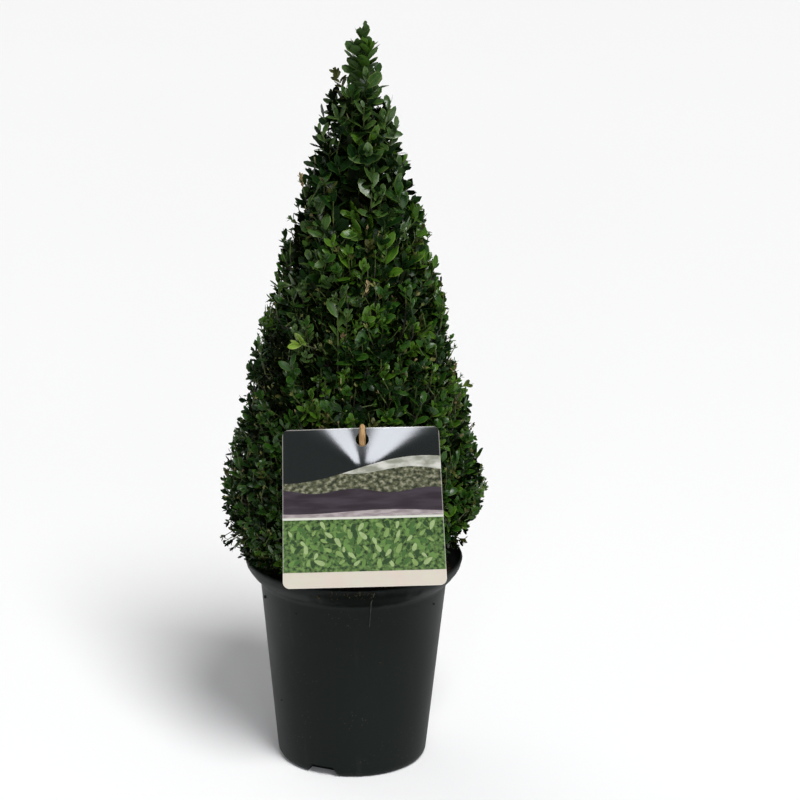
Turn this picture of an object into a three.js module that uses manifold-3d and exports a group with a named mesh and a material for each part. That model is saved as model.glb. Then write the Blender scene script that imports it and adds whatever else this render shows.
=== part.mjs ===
// A boxwood clipped to a cone, growing in a round nursery pot, with a picture tag hung on a wooden peg.
// Millimetres, +Z up. The origin is the centre of the pot's flat underside and the tag faces -Y.
import * as THREE from "three";
import { mergeVertices } from "three/addons/utils/BufferGeometryUtils.js";
import Module from "manifold-3d";

const wasm = await Module();
wasm.setup();

// Driving dimensions
const TOTAL_HEIGHT = 658;
const POT_HEIGHT = 186;
const POT_RIM_RADIUS = 95.5;
const POT_FOOT_RADIUS = 60;
const SOIL_DEPTH_BELOW_RIM = 14;
const CROWN_RADIUS = 117;
const CROWN_WIDE_HEIGHT = 250;
const TAG_SIDE = 134;
const GAP = 0.3;
const SLIVER = 0.02;

// Colours as they look in daylight
const FINISH = {
  pot: { color: 0x2b3131, roughness: 0.5 },
  soil: { color: 0x2a1d14, roughness: 0.95 },
  bark: { color: 0x7a6647, roughness: 0.85 },
  leaves: { color: 0x23421a, roughness: 0.42 },
  tag: { color: 0x39463f, roughness: 0.25 },
  peg: { color: 0xb98f5a, roughness: 0.7 },
};

const group = new THREE.Group();

// Solids and meshes

function solidOf(geometry) {
  const bare = geometry.clone();
  bare.deleteAttribute("normal");
  bare.deleteAttribute("uv");
  const merged = mergeVertices(bare, 1e-3);
  return new wasm.Manifold(
    new wasm.Mesh({
      numProp: 3,
      vertProperties: merged.attributes.position.array,
      triVerts: new Uint32Array(merged.index.array),
    }),
  );
}

function geometryOf(solid) {
  const { vertProperties, triVerts, numProp } = solid.getMesh();
  const position = new Float32Array((vertProperties.length / numProp) * 3);
  for (let i = 0; i < position.length / 3; i++) {
    position.set(vertProperties.subarray(i * numProp, i * numProp + 3), i * 3);
  }
  return new THREE.BufferGeometry()
    .setAttribute("position", new THREE.BufferAttribute(position, 3))
    .setIndex(new THREE.BufferAttribute(new Uint32Array(triVerts), 1));
}

function addNode(name, geometry, finish) {
  const mesh = new THREE.Mesh(
    geometry,
    new THREE.MeshStandardMaterial({ ...finish, metalness: 0, flatShading: true }),
  );
  mesh.name = name;
  group.add(mesh);
}

// Joins solids two by two, so that the pieces stay small for as long as they can.
function joined(solids) {
  let left = solids;
  while (left.length > 1) {
    const next = [];
    for (let i = 0; i < left.length; i += 2) {
      next.push(i + 1 < left.length ? left[i].add(left[i + 1]) : left[i]);
    }
    left = next;
  }
  return left[0];
}

// The largest outer body, without loose scraps or slivers and with sealed hollows filled.
function mainBody(solid) {
  const bodies = solid.decompose();
  return bodies.reduce((a, b) => (b.volume() > a.volume() ? b : a)).simplify(SLIVER);
}

// Turns a profile of [radius, height] pairs about the Z axis.
function turned(profile, segments) {
  const points = profile.map(([radius, height]) => new THREE.Vector2(radius, height));
  return new THREE.LatheGeometry(points, segments).rotateX(Math.PI / 2);
}

// A limb of any taper through a row of points: a closed cylinder whose rings are moved onto the points.
function limb(points, radiusAt, sides) {
  const steps = points.length - 1;
  const geometry = new THREE.CylinderGeometry(1, 1, 1, sides, steps);
  const position = geometry.attributes.position;
  for (let i = 0; i < position.count; i++) {
    const ring = Math.round((position.getY(i) + 0.5) * steps);
    const along = points[Math.min(ring + 1, steps)].clone().sub(points[Math.max(ring - 1, 0)]).normalize();
    const upright = Math.abs(along.z) > 0.9 ? new THREE.Vector3(0, 1, 0) : new THREE.Vector3(0, 0, 1);
    const side = upright.cross(along).normalize();
    const across = new THREE.Vector3().crossVectors(along, side);
    const radius = radiusAt(ring / steps);
    const point = points[ring].clone().addScaledVector(side, position.getX(i) * radius);
    point.addScaledVector(across, -position.getZ(i) * radius);
    position.setXYZ(i, point.x, point.y, point.z);
  }
  return geometry;
}

// A random number generator with a seed, so that every build grows the same plant.
function seeded(seed) {
  let state = seed;
  return () => {
    state = (state + 0x6d2b79f5) | 0;
    let t = Math.imul(state ^ (state >>> 15), 1 | state);
    t = (t + Math.imul(t ^ (t >>> 7), 61 | t)) ^ t;
    return ((t ^ (t >>> 14)) >>> 0) / 4294967296;
  };
}

const lerp = THREE.MathUtils.lerp;
const degrees = THREE.MathUtils.degToRad;
const between = (random, low, high) => low + (high - low) * random();

// Pot: a thin moulded shell with a flared collar, and drain pockets cut into the foot
const POT_WALL = 1.6;
const POT_FLOOR = 2.6;
const POT_SEGMENTS = 40;
const FOOT_ROUNDING = { inset: 2, low: 2.1, high: 7 };
const WALL_LOW_RADIUS = 66;
const WALL_HIGH_RADIUS = 82;
const COLLAR = { start: POT_HEIGHT - 20, stepOut: 6, stepUp: 4, band: 8, bandInset: 1.5 };
const LIP = { height: 1, inset: 0.5 };
const POCKETS = { count: 3, first: degrees(-112.7), width: 28, topWidth: 21, height: 8.5, depth: 15 };
const DRAIN_HOLE = { radius: 3.5, sides: 10 };

// How far a block that only cuts goes past the surface that it cuts
const PAST = 5;

// The shell's outside from the axis to the lip, moved inwards by `inset` for the inside.
function potProfile(inset, floor) {
  return [
    [0, floor],
    [POT_FOOT_RADIUS - inset, floor],
    [WALL_LOW_RADIUS - FOOT_ROUNDING.inset - inset, Math.max(FOOT_ROUNDING.low, floor + 0.6)],
    [WALL_LOW_RADIUS - inset, FOOT_ROUNDING.high],
    [WALL_HIGH_RADIUS - inset, COLLAR.start],
    [WALL_HIGH_RADIUS + COLLAR.stepOut - inset, COLLAR.start + COLLAR.stepUp],
    [POT_RIM_RADIUS - COLLAR.bandInset - inset, POT_HEIGHT - COLLAR.band],
    [POT_RIM_RADIUS - inset, POT_HEIGHT - LIP.height],
  ];
}

function radiusOnProfile(profile, height) {
  for (let i = 1; i < profile.length; i++) {
    const [r0, z0] = profile[i - 1];
    const [r1, z1] = profile[i];
    if (height <= z1) return lerp(r0, r1, (height - z0) / (z1 - z0 || 1));
  }
  return profile.at(-1)[0];
}

// A tapered block that stands for one drain pocket, grown by `grow` on every side that faces the soil.
function pocketBlock(index, grow) {
  const { width, topWidth, height, depth } = POCKETS;
  const section = new THREE.Shape([
    new THREE.Vector2(-width / 2 - grow, -PAST),
    new THREE.Vector2(width / 2 + grow, -PAST),
    new THREE.Vector2(topWidth / 2 + grow, height + grow),
    new THREE.Vector2(-topWidth / 2 - grow, height + grow),
  ]);
  const angle = POCKETS.first + (index * 2 * Math.PI) / POCKETS.count;
  const inner = WALL_LOW_RADIUS - depth - grow;
  return new THREE.ExtrudeGeometry(section, { depth: depth + grow + 4 * PAST, bevelEnabled: false })
    .rotateX(Math.PI / 2)
    .rotateZ(Math.PI)
    .translate(0, inner, 0)
    .rotateZ(angle - Math.PI / 2);
}

function drainHole(index) {
  const angle = POCKETS.first + (index * 2 * Math.PI) / POCKETS.count;
  const radius = WALL_LOW_RADIUS - POCKETS.depth * 0.5;
  return new THREE.CylinderGeometry(DRAIN_HOLE.radius, DRAIN_HOLE.radius, 4 * PAST, DRAIN_HOLE.sides)
    .rotateX(Math.PI / 2)
    .translate(Math.cos(angle) * radius, Math.sin(angle) * radius, POCKETS.height);
}

function allPockets(makeOne) {
  return joined(Array.from({ length: POCKETS.count }, (_, i) => solidOf(makeOne(i))));
}

function buildPot() {
  const outside = [...potProfile(0, 0), [POT_RIM_RADIUS - LIP.inset, POT_HEIGHT], [0, POT_HEIGHT]];
  const mouth = [POT_RIM_RADIUS - POT_WALL, POT_HEIGHT + PAST];
  const inside = [...potProfile(POT_WALL, POT_FLOOR), mouth, [0, POT_HEIGHT + PAST]];
  const cavity = solidOf(turned(inside, POT_SEGMENTS)).subtract(allPockets((i) => pocketBlock(i, POT_WALL)));
  const shell = solidOf(turned(outside, POT_SEGMENTS))
    .subtract(cavity)
    .subtract(allPockets((i) => pocketBlock(i, 0)))
    .subtract(allPockets(drainHole));
  addNode("pot", geometryOf(mainBody(shell)), FINISH.pot);
}

// Potting soil: fills the pot to just below the collar, with a rough top that is flat round the trunk
const SOIL_TOP = POT_HEIGHT - SOIL_DEPTH_BELOW_RIM;
const SOIL = { clearance: GAP + 0.1, edgeDrop: 1, rings: [62, 40], flatRadius: 18, lump: 1.4, segments: 24 };

// How high the rough top lies over or under its mean, between about -1.6 and 1.6.
function lumpiness(x, y) {
  return Math.sin(x * 0.31 + 1) * Math.cos(y * 0.27) + 0.6 * Math.sin(x * 0.11 - y * 0.17);
}

function buildSoil() {
  const { clearance, edgeDrop, rings, flatRadius, lump, segments } = SOIL;
  const liner = potProfile(POT_WALL + clearance, POT_FLOOR + clearance);
  const wall = liner.filter(([, z]) => z < SOIL_TOP - edgeDrop);
  const edge = [radiusOnProfile(liner, SOIL_TOP - edgeDrop), SOIL_TOP - edgeDrop];
  const top = [...rings, flatRadius, 0].map((radius) => [radius, SOIL_TOP]);
  const geometry = turned([...wall, edge, ...top], segments);
  const position = geometry.attributes.position;
  for (let i = 0; i < position.count; i++) {
    const x = position.getX(i);
    const y = position.getY(i);
    const lies = position.getZ(i) > SOIL_TOP - edgeDrop / 2 && Math.hypot(x, y) > flatRadius + 1;
    if (lies) position.setZ(i, SOIL_TOP - 1.2 + lump * lumpiness(x, y));
  }
  const soil = solidOf(geometry).subtract(allPockets((i) => pocketBlock(i, POT_WALL + clearance)));
  addNode("potting_soil", geometryOf(mainBody(soil)), FINISH.soil);
}

// Trunk: one leader from a flat cut on the soil, up through the foliage to the foot of the leading shoot
const TRUNK = { foot: SOIL_TOP + GAP, tip: 572, footRadius: 8.2, tipRadius: 1.9, sides: 8, steps: 24 };
const FLARE = { radius: 12, length: 30 };
const TRUNK_SWAY = [[0, 0], [1.5, 1.5], [-2, 2.5], [2, -1], [-1, 1], [2, 0]];
const trunkCurve = new THREE.CatmullRomCurve3(
  TRUNK_SWAY.map(([x, y], i) => {
    const height = lerp(TRUNK.foot, TRUNK.tip, i / (TRUNK_SWAY.length - 1));
    return new THREE.Vector3(x, y, height);
  }),
);

function trunkRadius(t) {
  const height = t * (TRUNK.tip - TRUNK.foot);
  const flare = Math.max(0, 1 - height / FLARE.length) ** 2 * (FLARE.radius - TRUNK.footRadius);
  return lerp(TRUNK.footRadius, TRUNK.tipRadius, t ** 0.9) + flare;
}

// The trunk, or the space cut out of the foliage for it, which is `grow` wider and longer at both ends.
function trunkSolid(grow) {
  const geometry = limb(trunkCurve.getPoints(TRUNK.steps), (t) => trunkRadius(t) + grow, TRUNK.sides);
  const position = geometry.attributes.position;
  for (let i = 0; i < position.count; i++) {
    if (position.getZ(i) < TRUNK.foot + 2) position.setZ(i, TRUNK.foot - grow);
    if (position.getZ(i) > TRUNK.tip - 2) position.setZ(i, TRUNK.tip + grow);
  }
  return solidOf(geometry);
}

function trunkPoint(z) {
  const t = (z - TRUNK.foot) / (TRUNK.tip - TRUNK.foot);
  return trunkCurve.getPoint(THREE.MathUtils.clamp(t, 0, 1));
}

// Crown outline: a cone with slightly bulging sides, rounded in at the skirt, which hangs lower on the left
const CROWN_BULGE = 0.8;
const SKIRT_HEIGHT = 197;
const SKIRT_SLANT = 10;
const SKIRT_DRAW_IN = 0.23;
const SKIRT_DRAW_IN_SLANT = 0.06;

function skirtHeight(azimuth) {
  return SKIRT_HEIGHT + SKIRT_SLANT * Math.cos(azimuth);
}

function outlineRadius(z, azimuth) {
  if (z >= CROWN_WIDE_HEIGHT) {
    const share = Math.max(0, (TOTAL_HEIGHT - z) / (TOTAL_HEIGHT - CROWN_WIDE_HEIGHT));
    return CROWN_RADIUS * share ** CROWN_BULGE;
  }
  const drop = (CROWN_WIDE_HEIGHT - z) / (CROWN_WIDE_HEIGHT - skirtHeight(azimuth));
  const drawIn = SKIRT_DRAW_IN + SKIRT_DRAW_IN_SLANT * Math.cos(azimuth);
  return CROWN_RADIUS * (1 - drawIn * Math.min(1, drop) ** 2);
}

// Masses of foliage, stacked up the trunk. Their borders are cones that rise outwards as the shoots do.
const LOWER_BORDER = { height: 316, slope: 0.7 };
const MIDDLE_BORDER = { height: 432, slope: 1.0 };
const UPPER_BORDER = { height: 560, slope: 1.5 };
const TIERS = [
  { name: "foliage_lower", under: LOWER_BORDER, twigSlope: 0.6, seed: 14 },
  { name: "foliage_middle", over: LOWER_BORDER, under: MIDDLE_BORDER, twigSlope: 0.85, seed: 23 },
  { name: "foliage_upper", over: MIDDLE_BORDER, under: UPPER_BORDER, twigSlope: 1.2, seed: 37 },
];

function borderHeight(border, radius) {
  return border.height + border.slope * radius;
}

// Whether a point lies over a border, clear of the flat facets that the core below has there.
function isOver(border, radius, z) {
  return !border || z > borderHeight(border, radius / Math.cos(Math.PI / CORE_SEGMENTS)) + GAP;
}

function isUnder(border, radius, z) {
  return !border || z < borderHeight(border, radius) - GAP;
}

// Cores: each mass has a smaller solid inside it that its shoots stand out of
const CORE_DEPTH = 20;
const CORE_FOOT = 206;
const CORE_SKIRT = 238;
const CORE_SEGMENTS = 16;
const CORE_ROW = 36;

function coreRadius(z) {
  return outlineRadius(Math.max(z, CORE_SKIRT), 0) - CORE_DEPTH;
}

// The height at which a border cone comes out of the core's side.
function borderMeetsCore(border) {
  let z = border.height;
  while (z < borderHeight(border, coreRadius(z))) z += 0.5;
  return z;
}

function coreProfile(tier) {
  const underside = [
    [0, CORE_FOOT - 2],
    [60, CORE_FOOT],
    [82, CORE_FOOT + 12],
    [coreRadius(CORE_SKIRT), CORE_SKIRT],
  ];
  const low = tier.over ? borderMeetsCore(tier.over) : CORE_SKIRT;
  const high = borderMeetsCore(tier.under);
  const profile = tier.over ? [[0, tier.over.height + GAP], [coreRadius(low), low + GAP]] : underside;
  const rows = Math.max(2, Math.round((high - low) / CORE_ROW));
  for (let i = 1; i <= rows; i++) {
    const z = lerp(low, high, i / rows);
    profile.push([coreRadius(z), i === rows ? z - GAP : z]);
  }
  return [...profile, [0, tier.under.height - GAP]];
}

// One leaf: eight faces, folded along its middle, from a foot sunk in the twig to a tip
const LEAF = { length: 31, halfWidth: 0.32, widestAt: 0.5, fold: 0.05, rib: 0.02, thickness: 0.055 };

function leafPoints({ foot, heading, normal, length }) {
  const across = new THREE.Vector3().crossVectors(heading, normal);
  const at = (along, sideways, lift) =>
    foot
      .clone()
      .addScaledVector(heading, along * length)
      .addScaledVector(across, sideways * length)
      .addScaledVector(normal, lift * length);
  const { widestAt, halfWidth, fold, rib, thickness } = LEAF;
  return {
    foot,
    tip: at(1, 0, -fold),
    left: at(widestAt, -halfWidth, fold),
    right: at(widestAt, halfWidth, fold),
    upper: at(widestAt, 0, rib),
    lower: at(widestAt, 0, rib - thickness),
  };
}

// Moves the corners of an octahedron onto the leaf's six points.
function leafSolid(points) {
  const geometry = new THREE.OctahedronGeometry(1);
  const position = geometry.attributes.position;
  for (let i = 0; i < position.count; i++) {
    const [x, y, z] = [position.getX(i), position.getY(i), position.getZ(i)].map(Math.round);
    const end = x > 0 ? points.tip : points.foot;
    const edge = y > 0 ? points.right : points.left;
    const face = z > 0 ? points.lower : points.upper;
    const corner = x ? end : y ? edge : face;
    position.setXYZ(i, corner.x, corner.y, corner.z);
  }
  return solidOf(geometry);
}

// The tag, and the peg that it hangs on. Foliage keeps out of both.
const TAG = {
  thickness: 0.8,
  corner: 7,
  taper: 0.022,
  lean: 11,
  roll: 2.3,
  holeRadius: 6.2,
  holeBelowTop: 9.5,
  holeRight: 0.5,
};
const tagPlace = new THREE.Object3D();
tagPlace.position.set(10, -113, 266.5);
tagPlace.rotation.set(degrees(90 - TAG.lean), 0, degrees(TAG.roll));
tagPlace.updateMatrix();
const tagInverse = tagPlace.matrix.clone().invert();
const tagHole = new THREE.Vector3(TAG.holeRight, TAG_SIDE / 2 - TAG.holeBelowTop, 0);

const PEG = { radius: 3.1, front: 17, behind: 60, rise: 62 };
const pegDirection = new THREE.Vector3(0, -Math.cos(degrees(PEG.rise)), Math.sin(degrees(PEG.rise)));
const pegFoot = pegPoint(-PEG.behind);

// A point on the peg's axis, measured from where it passes through the hole with the hole's top edge on it.
function pegPoint(distance) {
  const slant = degrees(PEG.rise - TAG.lean);
  const halfHeight = PEG.radius / Math.cos(slant) + (TAG.thickness / 2) * Math.tan(slant);
  const lift = new THREE.Vector3(0, TAG.holeRadius - halfHeight - GAP, 0);
  return tagHole.clone().add(lift).applyMatrix4(tagPlace.matrix).addScaledVector(pegDirection, distance);
}

function pegSolid(grow, sides) {
  const points = [-PEG.behind - grow, 0, PEG.front - 1, PEG.front + grow].map(pegPoint);
  return solidOf(limb(points, (t) => PEG.radius * (t === 1 ? 0.8 : 1) + grow, sides));
}

// How far leaves keep from the tag's edge and back, from the peg, and from the pot's lip, wall and soil
const CLEAR = { tagEdge: 3, tagBack: 1, peg: 1.2, lip: 1.5, potWall: 18, soil: 4 };

function clearOfTag(point) {
  const local = point.clone().applyMatrix4(tagInverse);
  const reach = TAG_SIDE / 2 + CLEAR.tagEdge;
  const isBehind = local.z < -TAG.thickness / 2 - CLEAR.tagBack;
  if (Math.abs(local.x) < reach && Math.abs(local.y) < reach && !isBehind) return false;
  const fromPeg = point.clone().sub(pegFoot);
  fromPeg.addScaledVector(pegDirection, -fromPeg.dot(pegDirection));
  return fromPeg.length() > PEG.radius + CLEAR.peg;
}

function clearOfPot(point) {
  const isInside = Math.hypot(point.x, point.y) < POT_RIM_RADIUS - CLEAR.potWall;
  return point.z > POT_HEIGHT + CLEAR.lip || (isInside && point.z > SOIL_TOP + CLEAR.soil);
}

// A shoot: a three-sided twig with leaves in crossed pairs and one at its tip
const TWIG_RADIUS = 1.7;
const PAIR_SPACING = 0.3;
const ROOT_DEPTH = 2.5;
const OVERHANG = 6;
const TIP_LEAF_SHARE = 0.62;
const PAIR_SPREAD = { last: 44, others: 66, wander: 8 };

function shootLeaves(end, direction, pairs, length, random) {
  const aside = new THREE.Vector3(-direction.y, direction.x, 0).normalize();
  const cross = new THREE.Vector3().crossVectors(direction, aside);
  const turn = random() * Math.PI;
  const outAt = (angle) =>
    aside.clone().multiplyScalar(Math.cos(angle)).addScaledVector(cross, Math.sin(angle));
  const tipFoot = end.clone().addScaledVector(direction, -ROOT_DEPTH);
  const tipLength = length * TIP_LEAF_SHARE;
  const leaves = [{ foot: tipFoot, heading: direction, normal: outAt(turn), length: tipLength }];
  for (let i = 0; i < 2 * pairs; i++) {
    const pair = Math.floor(i / 2);
    const out = outAt(turn + (pair * Math.PI) / 2 + (i % 2) * Math.PI);
    const { last, others, wander } = PAIR_SPREAD;
    const spread = degrees((pair ? others : last) + between(random, -wander, wander));
    const below = 1.5 * ROOT_DEPTH + pair * length * PAIR_SPACING;
    leaves.push({
      foot: end.clone().addScaledVector(direction, -below).addScaledVector(out, 0.1),
      heading: direction.clone().multiplyScalar(Math.cos(spread)).addScaledVector(out, Math.sin(spread)),
      normal: direction.clone().multiplyScalar(Math.sin(spread)).addScaledVector(out, -Math.cos(spread)),
      length: length * between(random, 0.85, 1.1),
    });
  }
  return leaves.map(leafPoints);
}

function twigSolid(from, bend, to) {
  return solidOf(limb([from, bend, to], (t) => lerp(TWIG_RADIUS, TWIG_RADIUS * 0.6, t), 3));
}

// Whether a point lies between a mass's borders, within the crown's outline and clear of the tag and the pot.
function fitsMass(mass, point, overhang) {
  const radius = Math.hypot(point.x, point.y);
  const reach = outlineRadius(point.z, Math.atan2(point.y, point.x)) + overhang;
  if (radius > reach || point.z > TOTAL_HEIGHT + 0.5) return false;
  if (!isOver(mass.over, radius, point.z) || !isUnder(mass.under, radius, point.z + 1)) return false;
  return clearOfTag(point) && clearOfPot(point);
}

// Whether points, and the middles between them, all lie in a mass's own space.
function allFit(mass, points, overhang) {
  const middles = points.flatMap((a, i) => points.slice(i + 1).map((b) => a.clone().lerp(b, 0.5)));
  return [...points, ...middles].every((point) => fitsMass(mass, point, overhang));
}

// How steeply the outermost part of a shoot rises: drooping at the skirt, steep towards the top.
const SHOOT_RISE = { skirt: degrees(-15), widest: degrees(20), top: degrees(58) };

function shootRise(z) {
  const skirt = SKIRT_HEIGHT - SKIRT_SLANT;
  if (z < CROWN_WIDE_HEIGHT) {
    return lerp(SHOOT_RISE.skirt, SHOOT_RISE.widest, (z - skirt) / (CROWN_WIDE_HEIGHT - skirt));
  }
  const share = (z - CROWN_WIDE_HEIGHT) / (TOTAL_HEIGHT - CROWN_WIDE_HEIGHT);
  return lerp(SHOOT_RISE.widest, SHOOT_RISE.top, share);
}

// The points where shoots end, on one spiral up the outline that gives each the same share of its surface.
const SHOOT_SPACING = 46;
const NARROWEST_TURN = 22;
const GOLDEN_ANGLE = Math.PI * (3 - Math.sqrt(5));

// Shoots that stand out past the clipped outline, low on the left and halfway up it
const LONG_SHOOTS = [
  { z: 200, azimuth: degrees(184), radius: 121 },
  { z: 214, azimuth: degrees(171), radius: 119 },
  { z: 500, azimuth: degrees(180), radius: 58 },
];

function shootTargets() {
  const targets = [];
  let z = SKIRT_HEIGHT - SKIRT_SLANT + 3;
  for (let i = 0; z < TOTAL_HEIGHT - 40; i++) {
    const azimuth = i * GOLDEN_ANGLE;
    const radius = outlineRadius(z, azimuth);
    if (z > skirtHeight(azimuth)) targets.push({ z, azimuth, radius });
    z += SHOOT_SPACING ** 2 / (2 * Math.PI * Math.max(radius, NARROWEST_TURN));
  }
  return [...targets, ...LONG_SHOOTS];
}

// A shoot runs from inside the core to a point on the outline. A leaf that would leave the mass is skipped,
// and of several heights the shoot takes the one that keeps most of its leaves.
const SHIFTS = [0, 5, -5, 10, -10, 15, -15];
const SHOOT = {
  wander: degrees(7),
  shortest: 0.9,
  longest: 1.08,
  tipToEnd: 0.55,
  straight: 14,
  rootShare: 0.7,
};

function grownShoot(tier, target, shift, seed) {
  const random = seeded(seed);
  const z = target.z + shift;
  const outward = new THREE.Vector3(Math.cos(target.azimuth), Math.sin(target.azimuth), 0);
  const rise = shootRise(z) + between(random, -SHOOT.wander, SHOOT.wander);
  const direction = outward.clone().multiplyScalar(Math.cos(rise)).setZ(Math.sin(rise));
  const length = LEAF.length * between(random, SHOOT.shortest, SHOOT.longest);
  const tip = outward.clone().multiplyScalar(target.radius).setZ(z);
  const end = tip.addScaledVector(direction, -length * SHOOT.tipToEnd);
  const bend = end.clone().addScaledVector(direction, -SHOOT.straight);
  const innerRadius = Math.min(coreRadius(z), target.radius - CORE_DEPTH) * SHOOT.rootShare;
  const innerZ = bend.z - (Math.hypot(bend.x, bend.y) - innerRadius) * tier.twigSlope;
  const inner = outward.clone().multiplyScalar(innerRadius).setZ(Math.max(innerZ, CORE_FOOT + 4));
  const overhang = OVERHANG + Math.max(0, target.radius - outlineRadius(z, target.azimuth));
  const grown = shootLeaves(end, direction, 2, length, random);
  const leaves = grown.filter((points) => allFit(tier, Object.values(points), overhang));
  return { inner, bend, end, leaves: allFit(tier, [end, bend, inner], overhang) ? leaves : [] };
}

function tierShoots(tier, targets) {
  const solids = [];
  targets.forEach((target, i) => {
    const foot = target.radius - CORE_DEPTH / 2;
    if (!isOver(tier.over, foot, target.z) || !isUnder(tier.under, foot, target.z)) return;
    const tries = SHIFTS.map((shift) => grownShoot(tier, target, shift, tier.seed * 1000 + i));
    const best = tries.reduce((a, b) => (b.leaves.length > a.leaves.length ? b : a));
    if (best.leaves.length) {
      solids.push(twigSolid(best.inner, best.bend, best.end), ...best.leaves.map(leafSolid));
    }
  });
  return solids;
}

// The mass's own stem: from just off the trunk out into the core.
const STEM = {
  radius: 2.2,
  sides: 5,
  aboveCoreFoot: 26,
  aboveBorder: 34,
  reach: new THREE.Vector3(14, 6, 14),
};

function tierStem(tier) {
  const z = tier.over ? tier.over.height + STEM.aboveBorder : CORE_FOOT + STEM.aboveCoreFoot;
  const start = trunkPoint(z);
  return solidOf(limb([start, start.clone().add(STEM.reach)], () => STEM.radius, STEM.sides));
}

function buildTier(tier, targets) {
  const core = solidOf(turned(coreProfile(tier), CORE_SEGMENTS));
  const mass = joined([core, tierStem(tier), ...tierShoots(tier, targets)])
    .subtract(trunkSolid(GAP))
    .subtract(pegSolid(GAP, 8));
  addNode(tier.name, geometryOf(mainBody(mass)), FINISH.leaves);
  return core;
}

// Leading shoot: an open spray with no core that grows on from the trunk's tip, with sky between its leaves
const LEADER = {
  name: "leading_shoot",
  over: UPPER_BORDER,
  seed: 5,
  tip: new THREE.Vector3(5.5, 0, TOTAL_HEIGHT - 10),
  leafLength: 20,
  pairs: 10,
  branches: [
    { azimuth: degrees(178), from: 0.12, reach: 15, top: 600 },
    { azimuth: degrees(60), from: 0.1, reach: 13, top: 590 },
    { azimuth: degrees(-50), from: 0.25, reach: 14, top: 602 },
  ],
};

function buildLeader() {
  const random = seeded(LEADER.seed);
  const foot = trunkPoint(TRUNK.tip).add(new THREE.Vector3(0, 0, GAP));
  const up = LEADER.tip.clone().sub(foot);
  const stem = limb([foot, LEADER.tip], (t) => lerp(TRUNK.tipRadius, 1.1, t), 4);
  const leaves = shootLeaves(LEADER.tip, up.clone().normalize(), LEADER.pairs, LEADER.leafLength, random);
  const twigs = LEADER.branches.map(({ azimuth, from, reach, top }) => {
    const start = foot.clone().addScaledVector(up, from);
    const end = new THREE.Vector3(Math.cos(azimuth) * reach, Math.sin(azimuth) * reach, top);
    leaves.push(...shootLeaves(end, end.clone().sub(start).normalize(), 2, LEADER.leafLength, random));
    return twigSolid(start, start.clone().lerp(end, 0.5), end);
  });
  const inside = leaves.filter((points) => allFit(LEADER, Object.values(points), 2 * OVERHANG));
  const spray = joined([solidOf(stem), ...twigs, ...inside.map(leafSolid)]);
  addNode(LEADER.name, geometryOf(mainBody(spray)), FINISH.leaves);
}

// Boughs: tapering limbs from the foot of the trunk to the underside of the lowest mass
const BOUGHS = {
  count: 6,
  first: degrees(25),
  seed: 71,
  sag: 3,
  startHeight: 183,
  endRadius: 56,
  footRadius: 3.8,
  tipRadius: 2.4,
};

function buildBoughs(lowestCore) {
  const trunk = trunkSolid(GAP);
  const ceiling = lowestCore.translate([0, 0, -GAP - 0.05]);
  const random = seeded(BOUGHS.seed);
  for (let i = 0; i < BOUGHS.count; i++) {
    const azimuth = BOUGHS.first + (i * 2 * Math.PI) / BOUGHS.count + between(random, -0.15, 0.15);
    const outward = new THREE.Vector3(Math.cos(azimuth), Math.sin(azimuth), 0);
    const start = trunkPoint(BOUGHS.startHeight).setZ(BOUGHS.startHeight + between(random, -2, 5));
    const end = outward.clone().multiplyScalar(BOUGHS.endRadius + between(random, -6, 6)).setZ(CORE_FOOT + 4);
    const bend = start.clone().lerp(end, 0.5).setZ((start.z + end.z) / 2 - BOUGHS.sag);
    const points = new THREE.QuadraticBezierCurve3(start, bend, end).getPoints(4);
    const radiusAt = (t) => lerp(BOUGHS.footRadius, BOUGHS.tipRadius, t);
    const solid = solidOf(limb(points, radiusAt, 6)).subtract(trunk).subtract(ceiling);
    addNode(`bough_${i + 1}`, geometryOf(mainBody(solid)), FINISH.bark);
  }
}

// Tag: a nearly square card with round corners and a hanging hole, a little narrower at its top
function buildTag() {
  const half = TAG_SIDE / 2;
  const inset = half - TAG.corner;
  const outline = new THREE.Shape();
  [0, 1, 2, 3].forEach((quarter) => {
    const x = quarter === 0 || quarter === 3 ? inset : -inset;
    const y = quarter < 2 ? inset : -inset;
    outline.absarc(x, y, TAG.corner, (quarter * Math.PI) / 2, ((quarter + 1) * Math.PI) / 2, false);
  });
  const hole = new THREE.Path();
  hole.absarc(tagHole.x, tagHole.y, TAG.holeRadius, 0, 2 * Math.PI, true);
  outline.holes.push(hole);
  const options = { depth: TAG.thickness, bevelEnabled: false, curveSegments: 5 };
  const geometry = new THREE.ExtrudeGeometry(outline, options);
  const position = geometry.attributes.position;
  for (let i = 0; i < position.count; i++) {
    position.setX(i, position.getX(i) * (1 - (TAG.taper * position.getY(i)) / half));
  }
  geometry.translate(0, 0, -TAG.thickness / 2).applyMatrix4(tagPlace.matrix);
  addNode("picture_tag", geometry, FINISH.tag);
}

function buildPeg() {
  addNode("tag_peg", geometryOf(pegSolid(0, 12)), FINISH.peg);
}

buildPot();
buildSoil();
addNode("trunk", geometryOf(trunkSolid(0)), FINISH.bark);
const targets = shootTargets();
const cores = TIERS.map((tier) => buildTier(tier, targets));
buildLeader();
buildBoughs(cores[0]);
buildTag();
buildPeg();

export default group;
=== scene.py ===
"""A boxwood clipped to a cone in its round nursery pot, with a picture tag hung on a wooden peg.

Metres, +Z up, the tag faces -Y. Pot, soil, trunk, boughs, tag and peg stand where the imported
solids do. The foliage grows by the same rule as its solids, carried on to finer twigs and to
leaves of real size.
"""

from __future__ import annotations

import logging
import math
import random
from dataclasses import dataclass, field
from enum import Enum
from typing import Iterable, Sequence

import bmesh
import bpy
import numpy as np
from mathutils import Matrix, Vector, noise

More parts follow.
